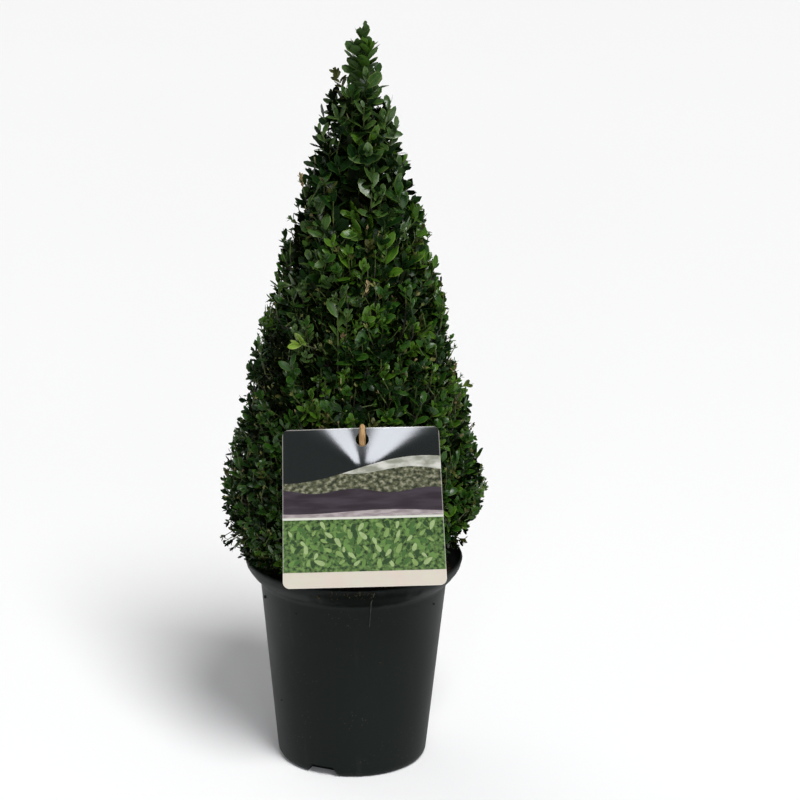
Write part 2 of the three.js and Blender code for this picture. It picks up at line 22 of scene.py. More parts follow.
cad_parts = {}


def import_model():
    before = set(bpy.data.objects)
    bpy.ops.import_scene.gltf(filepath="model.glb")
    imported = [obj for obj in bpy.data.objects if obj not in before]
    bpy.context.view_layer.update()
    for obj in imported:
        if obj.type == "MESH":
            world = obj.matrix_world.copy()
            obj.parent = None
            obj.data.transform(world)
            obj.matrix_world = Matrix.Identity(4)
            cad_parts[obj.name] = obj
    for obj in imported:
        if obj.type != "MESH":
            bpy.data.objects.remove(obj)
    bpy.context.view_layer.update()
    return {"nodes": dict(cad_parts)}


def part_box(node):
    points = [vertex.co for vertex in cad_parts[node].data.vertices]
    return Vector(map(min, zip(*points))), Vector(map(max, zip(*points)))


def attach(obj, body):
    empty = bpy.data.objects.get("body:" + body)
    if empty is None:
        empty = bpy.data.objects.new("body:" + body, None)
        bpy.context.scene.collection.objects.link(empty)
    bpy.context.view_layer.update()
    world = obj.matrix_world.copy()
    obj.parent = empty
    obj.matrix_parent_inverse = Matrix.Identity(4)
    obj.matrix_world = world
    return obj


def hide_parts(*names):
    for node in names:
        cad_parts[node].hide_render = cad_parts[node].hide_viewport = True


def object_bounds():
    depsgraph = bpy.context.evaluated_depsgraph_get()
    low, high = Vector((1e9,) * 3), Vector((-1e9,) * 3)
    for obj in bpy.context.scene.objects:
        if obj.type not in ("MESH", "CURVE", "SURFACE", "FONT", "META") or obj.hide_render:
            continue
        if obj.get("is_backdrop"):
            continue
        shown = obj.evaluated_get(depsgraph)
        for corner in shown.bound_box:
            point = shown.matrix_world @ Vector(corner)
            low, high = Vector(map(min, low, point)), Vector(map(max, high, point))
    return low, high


log = logging.getLogger("topiary")

BMesh = bmesh.types.BMesh
Material = bpy.types.Material
Mesh = bpy.types.Mesh
Socket = bpy.types.NodeSocket
Pair = tuple[float, float]
Colour = tuple[float, float, float]
Stops = tuple[tuple[float, Colour], ...]

UP = Vector((0, 0, 1))
BODY = "root"
EVEN = (1, 1, 1)
WELD = 1e-6
LEAF_WELD = 1e-5
SHARP_EDGE = math.radians(40)
SHARP_STAMP_EDGE = math.radians(75)


class Slot(Enum):
    """Names of material slots."""

    POT = "pot"
    SOIL = "soil"
    BARK = "bark"
    LEAVES = "leaves"
    TAG = "tag"
    PEG = "peg"


class Mass(Enum):
    """The masses of foliage, each named as its solid is."""

    LOWER = "foliage_lower"
    MIDDLE = "foliage_middle"
    UPPER = "foliage_upper"
    LEADER = "leading_shoot"


class Tone(Enum):
    """The greens that sprays of leaves are dealt; SHADE is a near-black green that paints the shade
    inside the crown.
    """

    SHADE = "shade"
    DEEP = "deep"
    MIDDLE = "middle"
    FRESH = "fresh"
    LIME = "lime"
    OLIVE = "olive"
    PALE = "pale"
    MUTED = "muted"
    DRY = "dry"


class Form(Enum):
    """The leaf shapes, from buds to the long leaves of free shoots."""

    BUD = "buds"
    INNER = "inner"
    OUTER = "outer"
    CLIPPED = "clipped"
    SPRIG = "sprigs"
    SPOON = "spoons"


ALL_MASSES = [mass.value for mass in Mass]


def blend(low: float, high: float, share: float) -> float:
    """Returns a value that is low at share 0 and high at share 1."""
    return low + (high - low) * share


def ease(start: float, end: float, value: float) -> float:
    """Returns 0 before start, 1 after end, and a smooth rise between them."""
    share = min(1.0, max(0.0, (value - start) / (end - start)))
    return share * share * (3 - 2 * share)


def heading(azimuth: float, rise: float) -> Vector:
    """Returns the unit vector along an azimuth that rises by an angle, both in radians."""
    level = math.cos(rise)
    return Vector((math.cos(azimuth) * level, math.sin(azimuth) * level, math.sin(rise)))


def spot(azimuth: float, radius: float, z: float) -> Vector:
    """Returns the place at an azimuth in radians, a radius and a height."""
    return heading(azimuth, 0) * radius + UP * z


def curve(start: Vector, bend: Vector, end: Vector, steps: int) -> list[Vector]:
    """Returns the points of a line that leaves start towards bend and reaches end from it."""
    shares = [index / steps for index in range(steps + 1)]
    return [start.lerp(bend, share).lerp(bend.lerp(end, share), share) for share in shares]


def square_to(vector: Vector, axis: Vector) -> Vector:
    """Returns the unit vector nearest to one vector that is square to another."""
    return (vector - axis * vector.dot(axis)).normalized()


def nearest(points: np.ndarray, place: Vector) -> Vector:
    """Returns the point of a set that lies nearest to a place."""
    return Vector(points[np.linalg.norm(points - np.array(place), axis=1).argmin()])


def only(items: Iterable, kind: type) -> list:
    """Returns the items of one kind."""
    return [item for item in items if isinstance(item, kind)]


def frame_of(turn: Matrix, place: Sequence[float]) -> np.ndarray:
    """Returns the 3 by 4 frame that turns and sizes a stamp and moves it to a place."""
    return np.hstack([np.array(turn), np.array(place)[:, None]])


def put(name: str, data: bpy.types.ID) -> bpy.types.Object:
    """Makes an object of its data and links it to the scene."""
    made = bpy.data.objects.new(name, data)
    bpy.context.scene.collection.objects.link(made)
    return made


def add_piece(
    mesh: Mesh, materials: Sequence[Material], nodes: Iterable[str]
) -> None:
    """Puts a finished mesh in the scene as a piece that stands for some of the solids.

    Args:
        mesh: The mesh, with its place in its points and the piece's name as its own.
        materials: What its faces' material numbers stand for.
        nodes: The solids that it replaces.
    """
    piece = put(mesh.name, mesh)
    for material in materials:
        mesh.materials.append(material)
    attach(piece, BODY)
    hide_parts(*nodes)
    mesh.calc_loop_triangles()
    log.info("%s: %d triangles", piece.name, len(mesh.loop_triangles))


def plain_mesh(bm: BMesh, name: str) -> Mesh:
    """Turns a bmesh into a mesh, and frees it."""
    mesh = bpy.data.meshes.new(name)
    bm.to_mesh(mesh)
    bm.free()
    return mesh


def mesh_of(bm: BMesh, name: str) -> Mesh:
    """Turns a bmesh into a smooth mesh that keeps its sharp edges, and frees it."""
    mesh = plain_mesh(bm, name)
    mesh.shade_smooth()
    mesh.set_sharp_from_angle(angle=SHARP_EDGE)
    return mesh


def spun(rows: Sequence[Pair], steps: int) -> BMesh:
    """Turns a line about the axis.

    Args:
        rows: The line's radii and heights, from the axis, round and back to it.
        steps: How many steps one turn has.

    Returns:
        A closed shape.
    """
    bm = bmesh.new()
    verts = [bm.verts.new((radius, 0, z)) for radius, z in rows]
    edges = [bm.edges.new(pair) for pair in zip(verts, verts[1:])]
    bmesh.ops.spin(
        bm, geom=verts + edges, cent=(0, 0, 0), axis=UP, angle=2 * math.pi, steps=steps,
        use_merge=True,
    )
    bmesh.ops.remove_doubles(bm, verts=bm.verts, dist=WELD)
    bmesh.ops.recalc_face_normals(bm, faces=bm.faces)
    return bm


@dataclass
class Stamp:
    """A small closed shape that one joined mesh repeats many times."""

    points: np.ndarray
    faces: list[list[int]]
    slots: list[int]
    prints: np.ndarray | None = None

    @classmethod
    def of(cls, bm: BMesh) -> Stamp:
        """Reads the shape from a bmesh, and frees it."""
        bm.verts.index_update()
        points = np.array([vert.co for vert in bm.verts])
        faces = [[vert.index for vert in face.verts] for face in bm.faces]
        slots = [face.material_index for face in bm.faces]
        layer = bm.loops.layers.uv.active
        prints = None
        if layer:
            prints = np.array([loop[layer].uv for face in bm.faces for loop in face.loops])
        bm.free()
        return cls(points, faces, slots, prints)

    @classmethod
    def crumb(cls) -> Stamp:
        """Returns a rough ball of radius 1."""
        bm = bmesh.new()
        bmesh.ops.create_icosphere(bm, subdivisions=1, radius=1)
        return cls.of(bm)

    def turned(self, frames: Sequence[np.ndarray]) -> np.ndarray:
        """Returns the copies' points, one row of points for each 3 by 4 frame."""
        frames = np.array(frames)
        return np.einsum("mij,nj->mni", frames[:, :, :3], self.points) + frames[:, None, :, 3]

    def joined(self, name: str, points: np.ndarray, sharp: float = SHARP_STAMP_EDGE) -> Mesh:
        """Joins all copies in one mesh.

        Args:
            name: The mesh's name.
            points: The points of every copy, in the stamp's order.
            sharp: The least angle between two faces that stays a sharp edge.

        Returns:
            The new mesh.
        """
        copies, size = points.shape[:2]
        counts = np.arange(copies)[:, None]
        corners = np.concatenate(self.faces)
        starts = np.cumsum([0] + [len(face) for face in self.faces[:-1]])
        mesh = bpy.data.meshes.new(name)
        mesh.vertices.add(copies * size)
        mesh.vertices.foreach_set("co", points.astype(np.float32).ravel())
        mesh.loops.add(copies * len(corners))
        mesh.loops.foreach_set("vertex_index", (counts * size + corners).ravel())
        mesh.polygons.add(copies * len(self.faces))
        mesh.polygons.foreach_set("loop_start", (counts * len(corners) + starts).ravel())
        mesh.polygons.foreach_set("material_index", np.tile(self.slots, copies))
        if self.prints is not None:
            prints = np.tile(self.prints.ravel(), copies)
            mesh.uv_layers.new(name="print").data.foreach_set("uv", prints)
        mesh.update(calc_edges=True)
        mesh.validate()
        mesh.shade_smooth()
        mesh.set_sharp_from_angle(angle=sharp)
        return mesh


@dataclass
class Tube:
    """A closed limb of any taper, with its rings spread along a path."""

    sides: int
    rings: int

    def stamp(self) -> Stamp:
        """Returns an upright tube of radius 1 whose points' heights are their rings' numbers."""
        bm = bmesh.new()
        bmesh.ops.create_cone(
            bm, cap_ends=True, segments=self.sides, radius1=1, radius2=1, depth=1
        )
        if self.rings > 2:
            upright = [edge for edge in bm.edges if len({vert.co.z for vert in edge.verts}) > 1]
            bmesh.ops.subdivide_edges(bm, edges=upright, cuts=self.rings - 2)
        for vert in bm.verts:
            vert.co.z = round((vert.co.z + 0.5) * (self.rings - 1))
        return Stamp.of(bm)

    def along(self, stamp: Stamp, paths: np.ndarray, radii: np.ndarray) -> np.ndarray:
        """Moves the tube's rings onto paths.

        Args:
            stamp: The tube's stamp.
            paths: One path of points for each copy, as many as the tube has rings.
            radii: The radii along the paths, in one row for all copies or a row for each.

        Returns:
            The points of every copy.
        """
        steps = np.gradient(paths, axis=1)
        tangents = steps / np.linalg.norm(steps, axis=2, keepdims=True)
        mean = tangents.mean(axis=1, keepdims=True)
        is_steep = np.abs(mean[..., 2:]) > 0.8
        upright = np.where(is_steep, [[[0.0, 1.0, 0.0]]], [[[0.0, 0.0, 1.0]]])
        side = np.cross(np.broadcast_to(upright, tangents.shape), tangents)
        side /= np.linalg.norm(side, axis=2, keepdims=True)
        across = np.cross(tangents, side)
        ring = stamp.points[:, 2].astype(int)
        x, y = stamp.points[:, 0:1], stamp.points[:, 1:2]
        offset = side[:, ring] * x + across[:, ring] * y
        return paths[:, ring] + offset * radii[:, ring, None]


class Surface:
    """One principled material, with the nodes that vary its colour, gloss and relief."""

    def __init__(self, name: str, roughness: float, specular: float) -> None:
        """Starts a material with the roughness and specular level it has where nothing varies."""
        self.material = bpy.data.materials.new(name)
        self.material.use_nodes = True
        self.tree = self.material.node_tree
        self.shader = self.tree.nodes["Principled BSDF"]
        self.shader.inputs["Roughness"].default_value = roughness
        self.shader.inputs["Specular IOR Level"].default_value = specular

    def node(self, kind: str, inputs: dict | None = None, **settings: object) -> bpy.types.Node:
        """Adds a node.

        Args:
            kind: The node's type.
            inputs: What its inputs are, each an output to link or a value to set.
            settings: The node's own settings.

        Returns:
            The node.
        """
        node = self.tree.nodes.new(kind)
        for key, value in settings.items():
            setattr(node, key, value)
        for key, value in (inputs or {}).items():
            if isinstance(value, Socket):
                self.tree.links.new(value, node.inputs[key])
            else:
                node.inputs[key].default_value = value
        return node

    def feed(self, socket: str, output: Socket) -> None:
        """Links an output to one of the shader's inputs."""
        self.tree.links.new(output, self.shader.inputs[socket])

    def place(self, scale: Sequence[float] = EVEN, kind: str = "Object") -> Socket:
        """Returns the coordinates that a pattern reads, scaled."""
        inputs = {"Vector": self.node("ShaderNodeTexCoord").outputs[kind], "Scale": scale}
        return self.node("ShaderNodeMapping", inputs).outputs["Vector"]

    def noise(
        self, scale: float, detail: float, stretch: Sequence[float] = EVEN, kind: str = "Object"
    ) -> Socket:
        """Returns a noise pattern, stretched along the axes."""
        inputs = {"Vector": self.place(stretch, kind), "Scale": scale, "Detail": detail}
        return self.node("ShaderNodeTexNoise", inputs).outputs["Fac"]

    def specks(self, scale: float, size: float) -> Socket:
        """Returns 1 on specks, whose size is a share of their spacing, and 0 elsewhere."""
        cells = self.node("ShaderNodeTexVoronoi", {"Vector": self.place(), "Scale": scale})
        return self.maths("LESS_THAN", cells.outputs["Distance"], size)

    def maths(self, operation: str, *values: Socket | float) -> Socket:
        """Returns the result of a sum on outputs or numbers."""
        node = self.node("ShaderNodeMath", dict(enumerate(values)), operation=operation)
        return node.outputs["Value"]

    def ramp(self, factor: Socket, *stops: tuple[float, Colour | float]) -> Socket:
        """Returns what follows a factor through stops, each a place and a colour or grey."""
        node = self.node("ShaderNodeValToRGB", {"Fac": factor})
        elements = node.color_ramp.elements
        while len(elements) < len(stops):
            elements.new(0.5)
        for element, (where, colour) in zip(elements, stops):
            element.position = where
            element.color = (*(colour if isinstance(colour, tuple) else (colour,) * 3), 1)
        return node.outputs["Color"]

    def mix(self, factor: Socket | float, low: Socket | Colour, high: Socket | Colour) -> Socket:
        """Returns one colour mixed into another by a factor."""
        node = self.node("ShaderNodeMix", {0: factor}, data_type="RGBA")
        for key, value in ((6, low), (7, high)):
            if isinstance(value, Socket):
                self.tree.links.new(value, node.inputs[key])
            else:
                node.inputs[key].default_value = (*value, 1)
        return node.outputs[2]

    def relief(self, height: Socket, depth: float, strength: float) -> None:
        """Raises the surface by a height pattern of a depth in metres."""
        inputs = {"Height": height, "Distance": depth, "Strength": strength}
        self.feed("Normal", self.node("ShaderNodeBump", inputs).outputs["Normal"])


@dataclass(frozen=True)
class LeafFinish:
    """One green: its two near colours, its paler margin and underside, and its gloss."""

    tone: Tone
    colour: Colour
    second: Colour
    margin: Colour
    under: Colour
    roughness: float = 0.28
    specular: float = 0.25

    def faces(self) -> list[Material]:
        """Returns the materials of the upper side and the underside."""
        upper = Surface(f"leaf_{self.tone.value}", self.roughness, self.specular)
        patches = upper.ramp(upper.noise(scale=95, detail=2), (0.38, 0.0), (0.62, 1.0))
        blade = upper.mix(patches, self.colour, self.second)
        print_place = {"Vector": upper.place(kind="UV")}
        across = upper.node("ShaderNodeSeparateXYZ", print_place).outputs["X"]
        aside = upper.maths("ABSOLUTE", upper.maths("MULTIPLY_ADD", across, 2.0, -1.0))
        lines = upper.ramp(aside, (0.0, 0.5), (0.09, 0.0), (0.74, 0.0), (0.96, 1.0))
        upper.feed("Base Color", upper.mix(lines, blade, self.margin))
        gloss = (0.3, self.roughness - 0.08), (0.7, self.roughness + 0.12)
        upper.feed("Roughness", upper.ramp(upper.noise(scale=240, detail=2), *gloss))
        upper.relief(upper.noise(scale=520, detail=3), depth=0.00018, strength=0.5)
        under = Surface(f"leaf_{self.tone.value}_under", 0.6, self.specular * 0.6)
        under_patches = under.noise(scale=160, detail=2)
        under.feed("Base Color", under.mix(under_patches, self.under, self.colour))
        return [upper.material, under.material]


LEAF_FINISHES = (
    # SHADE: near-black leaves that paint the shade deep inside the crown.
    LeafFinish(
        Tone.SHADE, (0.0014, 0.0034, 0.0004), (0.0026, 0.0058, 0.0006),
        (0.006, 0.010, 0.0012), (0.003, 0.0064, 0.001), 0.52, 0.03,
    ),
    LeafFinish(
        Tone.DEEP, (0.0028, 0.013, 0.0022), (0.0052, 0.020, 0.0034),
        (0.019, 0.044, 0.0068), (0.008, 0.023, 0.0046), 0.33, 0.14,
    ),
    LeafFinish(
        Tone.MIDDLE, (0.0092, 0.038, 0.0038), (0.0165, 0.056, 0.0055),
        (0.050, 0.100, 0.012), (0.022, 0.056, 0.0085),
    ),
    LeafFinish(
        Tone.FRESH, (0.025, 0.076, 0.0044), (0.042, 0.102, 0.0064),
        (0.105, 0.175, 0.021), (0.046, 0.097, 0.0125),
    ),
    LeafFinish(
        Tone.MUTED, (0.0205, 0.054, 0.0092), (0.035, 0.076, 0.0145),
        (0.098, 0.148, 0.032), (0.042, 0.080, 0.0185), 0.27, 0.42,
    ),
    LeafFinish(
        Tone.LIME, (0.130, 0.220, 0.018), (0.180, 0.270, 0.028),
        (0.260, 0.330, 0.070), (0.170, 0.230, 0.055), 0.40,
    ),
    LeafFinish(
        Tone.OLIVE, (0.028, 0.037, 0.005), (0.050, 0.054, 0.0095),
        (0.105, 0.105, 0.026), (0.054, 0.060, 0.015), 0.44,
    ),
    LeafFinish(
        Tone.PALE, (0.090, 0.105, 0.024), (0.160, 0.155, 0.056),
        (0.200, 0.190, 0.080), (0.130, 0.135, 0.042), 0.55, 0.1,
    ),
    LeafFinish(
        Tone.DRY, (0.170, 0.125, 0.056), (0.280, 0.215, 0.105),
        (0.340, 0.270, 0.150), (0.210, 0.160, 0.078), 0.7, 0.1,
    ),
)


@dataclass(frozen=True)
class Grained:
    """A finish whose colour runs through stops with a grain, which may also stand in relief."""

    name: str
    stops: Stops
    scale: float
    detail: float
    stretch: Sequence[float] = EVEN
    roughness: float = 0.6
    specular: float = 0.4
    depth: float = 0.0
    strength: float = 1.0

    def material(self) -> Material:
        """Returns the material."""
        skin = Surface(self.name, self.roughness, self.specular)
        grain = skin.noise(self.scale, self.detail, self.stretch)
        skin.feed("Base Color", skin.ramp(grain, *self.stops))
        if self.depth:
            skin.relief(grain, self.depth, self.strength)
        return skin.material


def twig_finish(name: str, light: Colour, dark: Colour) -> Grained:
    """Returns a thin shoot's skin."""
    return Grained(name, ((0.35, dark), (0.65, light)), scale=300, detail=3, stretch=(1, 1, 0.4))


def compost_finish(name: str, dark: Colour, light: Colour) -> Grained:
    """Returns moist compost: dark crumbs with fibres."""
    stops = (0.35, dark), (0.70, light)
    return Grained(name, stops, scale=260, detail=6, roughness=0.95, specular=0.2, depth=0.002)


def drifting(
    name: str, low: Colour, high: Colour, scale: float, detail: float, roughness: float,
    specular: float = 0.5,
) -> Material:
    """Returns a material that drifts between two colours, with patches of a scale and detail."""
    skin = Surface(name, roughness, specular)
    skin.feed("Base Color", skin.mix(skin.noise(scale, detail), low, high))
    return skin.material


BARK = Grained(
    "bark", ((0.36, (0.055, 0.038, 0.022)), (0.60, (0.230, 0.175, 0.105))), scale=420, detail=4,
    stretch=(1, 1, 0.22), roughness=0.85, specular=0.3, depth=0.0008, strength=0.8,
)
PEG_WOOD = Grained(
    "peg_wood", ((0.35, (0.290, 0.160, 0.065)), (0.65, (0.520, 0.330, 0.150))), scale=130,
    detail=4, stretch=(6, 1, 1), roughness=0.7, specular=0.3, depth=0.0003, strength=0.5,
)
# Branches and woody twigs inside the crown: far darker than bark, as painted shade.
SHADED_BRANCH = twig_finish("branch_skin_painted_shade", (0.024, 0.022, 0.011), (0.008, 0.0072, 0.004))
STEM = twig_finish("green_stem", (0.066, 0.090, 0.018), (0.018, 0.032, 0.006))
CUT = twig_finish("cut_twig", (0.290, 0.285, 0.130), (0.080, 0.085, 0.028))
ROOT = twig_finish("root_skin", (0.040, 0.042, 0.030), (0.018, 0.018, 0.013))
COMPOST = compost_finish("compost", (0.010, 0.006, 0.004), (0.070, 0.042, 0.024))
WET_COMPOST = compost_finish("wet_compost", (0.002, 0.0015, 0.001), (0.045, 0.036, 0.018))


def add_limbs(
    name: str, sides: int, paths: np.ndarray, radii: np.ndarray, finish: Grained,
    nodes: Iterable[str],
) -> None:
    """Joins thin limbs in one piece.

    Args:
        name: The piece's name.
        sides: How many sides each limb has.
        paths: One path of points for each limb.
        radii: The radii along the paths, in one row for all limbs or a row for each.
        finish: The limbs' finish.
        nodes: The solids that the piece replaces.
    """
    tube = Tube(sides, paths.shape[1])
    stamp = tube.stamp()
    mesh = stamp.joined(name, tube.along(stamp, paths, radii))
    add_piece(mesh, [finish.material()], nodes)


@dataclass(frozen=True)
class PotFinish:
    """Dark recycled plastic with a dusty bloom, faint marks and specks of compost, and a wet smudge
    with painted shade of the tag on the collar.
    """

    colour: Colour = (0.0031, 0.0053, 0.0045)
    bloom: Colour = (0.0060, 0.0090, 0.0077)
    dust: Colour = (0.040, 0.041, 0.036)
    # Darker colour under the tag: a wet compost smudge and painted shade of the tag.
    damp: Colour = (0.0020, 0.0034, 0.0022)
    roughness: float = 0.48
    specular: float = 0.12
    # Less gloss in that patch, which darkens it further as painted shade.
    damp_specular: float = 0.02
    stain_middle: Pair = (0.014, 0.175)
    stain_size: Pair = (0.056, 0.010)
    stain_ragged: float = 1.2

    def material(self) -> Material:
        """Returns the material."""
        skin = Surface("pot_plastic", self.roughness, self.specular)
        clouds = skin.noise(scale=9, detail=5, stretch=(1, 1, 0.5))
        is_bloom = skin.ramp(clouds, (0.42, 0.0), (0.75, 0.8))
        base = skin.mix(is_bloom, self.colour, self.bloom)
        marks = skin.noise(scale=60, detail=4, stretch=(1, 1, 0.12))
        base = skin.mix(skin.ramp(marks, (0.62, 0.0), (0.80, 0.30)), base, self.dust)
        # A wet smudge and painted shade of the tag darken the collar under the tag.
        stain = self.stain(skin)
        base = skin.mix(stain, base, self.damp)
        swarms = skin.ramp(skin.noise(scale=28, detail=3), (0.5, 0.0), (0.65, 1.0))
        specks = skin.maths("MULTIPLY", skin.specks(scale=330, size=0.13), swarms)
        skin.feed("Base Color", skin.mix(specks, base, self.dust))
        skin.feed("Roughness", skin.ramp(clouds, (0.3, 0.42), (0.7, 0.58)))
        gloss = skin.ramp(stain, (0.0, self.specular), (1.0, self.damp_specular))
        skin.feed("Specular IOR Level", gloss)
        skin.relief(skin.noise(scale=900, detail=2), depth=0.00008, strength=0.6)
        return skin.material

    def stain(self, skin: Surface) -> Socket:
        """Returns how far a wet compost smudge and the painted shade of the tag darken the front of
        the collar, from 0 to 1.
        """
        place = skin.node("ShaderNodeSeparateXYZ", {"Vector": skin.place()}).outputs
        squares = []
        for axis, middle, size in zip("XZ", self.stain_middle, self.stain_size):
            away = skin.maths("DIVIDE", skin.maths("SUBTRACT", place[axis], middle), size)
            squares.append(skin.maths("MULTIPLY", away, away))
        fray = skin.noise(scale=90, detail=4)
        fray = skin.maths("MULTIPLY_ADD", fray, self.stain_ragged, -self.stain_ragged / 2)
        away = skin.maths("ADD", skin.maths("ADD", *squares), fray)
        near = skin.ramp(away, (0.35, 0.9), (1.0, 0.0))
        return skin.maths("MULTIPLY", near, skin.maths("LESS_THAN", place["Y"], 0.0))


@dataclass
class Frame:
    """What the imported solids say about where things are."""

    nodes: dict[str, bpy.types.Object]
    ring_gap: float = 0.004

    def points(self, node: str) -> np.ndarray:
        """Returns a solid's different corner points."""
        mesh = self.nodes[node].data
        flat = np.zeros(len(mesh.vertices) * 3)
        mesh.vertices.foreach_get("co", flat)
        return np.unique(flat.reshape(-1, 3).round(6), axis=0)

    def rings(self, node: str) -> tuple[list[Vector], list[float]]:
        """Returns the centres and radii of an upright limb's rings, from its foot up."""
        points = self.points(node)
        points = points[points[:, 2].argsort()]
        breaks = np.nonzero(np.diff(points[:, 2]) > self.ring_gap)[0] + 1
        centres, radii = [], []
        for group in np.split(points, breaks):
            centre = group.mean(axis=0)
            centres.append(Vector(centre))
            radii.append(np.linalg.norm(group - centre, axis=1).max())
        return centres, radii

    def ends(self, node: str, axis: Vector, band: float) -> tuple[Vector, Vector]:
        """Returns the middles of a limb's two ends along an axis, the lower first."""
        points = self.points(node)
        along = points @ np.array(axis)
        low = points[along < along.min() + band].mean(axis=0)
        high = points[along > along.max() - band].mean(axis=0)
        return Vector(low), Vector(high)


@dataclass
class Pot:
    """The moulded nursery pot: a thin shell with a flared collar and drain pockets at its foot."""

    height: float = 0.186
    rim_radius: float = 0.0955
    wall: float = 0.0016
    floor: float = 0.0026
    steps: int = 160
    foot_radius: float = 0.060
    low_radius: float = 0.066
    low_height: float = 0.007
    high_radius: float = 0.082
    collar_height: float = 0.020
    pockets: int = 3
    first_pocket: float = math.radians(-112.7)
    pocket_size: Vector = field(default_factory=lambda: Vector((0.031, 0.015, 0.0092)))
    pocket_top: float = 0.0205
    hole_radius: float = 0.0035
    hole_sides: int = 20
    past: float = 0.005

    def profile(self, inset: float, floor: float) -> list[Pair]:
        """Lists the shell's outside from the axis to the lip.

        Args:
            inset: How far inwards to move it, for the inside.
            floor: The height of its lowest face.

        Returns:
            Radii and heights.
        """
        collar = self.height - self.collar_height
        low, high, rim = self.low_radius, self.high_radius, self.rim_radius
        rows = [
            (self.foot_radius, 0.0),
            (low - 0.0032, 0.0007),
            (low - 0.0016, 0.0022),
            (low - 0.0004, 0.0045),
            (low, self.low_height),
            (blend(low, high, 0.5), blend(self.low_height, collar, 0.5)),
            (high - 0.0004, collar - 0.004),
            (high + 0.0006, collar - 0.0008),
            (high + 0.0036, collar + 0.0020),
            (high + 0.0066, collar + 0.0046),
            (rim - 0.0030, collar + 0.0098),
            (rim - 0.0014, collar + 0.0128),
            (rim - 0.0006, collar + 0.0162),
            (rim, self.height - 0.0016),
        ]
        return [(0.0, floor)] + [(radius - inset, max(z, floor)) for radius, z in rows]

    def cutter(self, bm: BMesh, name: str) -> bpy.types.Object:
        """Makes an object that takes part in cuts."""
        return put(name, plain_mesh(bm, name))

    def azimuth(self, index: int) -> float:
        """Returns a pocket's azimuth."""
        return self.first_pocket + index * 2 * math.pi / self.pockets

    def blocks(self, grow: float, name: str) -> bpy.types.Object:
        """Makes the tapered blocks of all drain pockets.

        Args:
            grow: How much wider they are on every side that faces the soil.
            name: The new object's name.

        Returns:
            One object of separate blocks.
        """
        bm = bmesh.new()
        width, depth, height = self.pocket_size
        foot = width + (width - self.pocket_top) * self.past / height
        for index in range(self.pockets):
            verts = bmesh.ops.create_cube(bm, size=1)["verts"]
            for vert in verts:
                is_top, is_out = vert.co.z > 0, vert.co.x > 0
                half = (self.pocket_top if is_top else foot) / 2 + grow
                inner = self.low_radius - depth - grow
                vert.co.x = inner + depth + 4 * self.past if is_out else inner
                vert.co.y = math.copysign(half, vert.co.y)
                vert.co.z = height + grow if is_top else -self.past
            turn = Matrix.Rotation(self.azimuth(index), 3, "Z")
            bmesh.ops.rotate(bm, verts=verts, matrix=turn)
        return self.cutter(bm, name)

    def drains(self) -> bpy.types.Object:
        """Makes the pegs that cut the drain holes."""
        bm = bmesh.new()
        middle = self.low_radius - self.pocket_size.y / 2
        for index in range(self.pockets):
            hole = spot(self.azimuth(index), middle, self.pocket_size.z)
            bmesh.ops.create_cone(
                bm, cap_ends=True, segments=self.hole_sides, radius1=self.hole_radius,
                radius2=self.hole_radius, depth=4 * self.past, matrix=Matrix.Translation(hole),
            )
        return self.cutter(bm, "drain_cutters")

    def cut(self, target: bpy.types.Object, cutter: bpy.types.Object) -> None:
        """Cuts one solid from another and removes the cutter."""
        modifier = target.modifiers.new("cut", "BOOLEAN")
        modifier.operation = "DIFFERENCE"
        modifier.object = cutter
        modifier.solver = "EXACT"
        evaluated = target.evaluated_get(bpy.context.evaluated_depsgraph_get())
        cut_shape = bpy.data.meshes.new_from_object(evaluated)
        target.modifiers.clear()
        target.data = cut_shape
        bpy.data.objects.remove(cutter)

    def build(self) -> None:
        """Makes the pot."""
        lip = [(self.rim_radius - 0.0005, self.height - 0.0004)]
        lip += [(self.rim_radius - 0.0010, self.height), (0, self.height)]
        shell = self.cutter(spun([*self.profile(0, 0), *lip], self.steps), "pot_shell")
        above = self.height + self.past
        mouth = [(self.rim_radius - self.wall, above), (0, above)]
        inside = [*self.profile(self.wall, self.floor), *mouth]
        hollow = self.cutter(spun(inside, self.steps), "pot_hollow")
        self.cut(hollow, self.blocks(self.wall, "soil_side"))
        self.cut(shell, hollow)
        self.cut(shell, self.blocks(0, "ground_side"))
        self.cut(shell, self.drains())
        bm = bmesh.new()
        bm.from_mesh(shell.data)
        bpy.data.objects.remove(shell)
        bmesh.ops.remove_doubles(bm, verts=bm.verts, dist=WELD)
        add_piece(mesh_of(bm, "nursery_pot"), [PotFinish().material()], ["pot"])


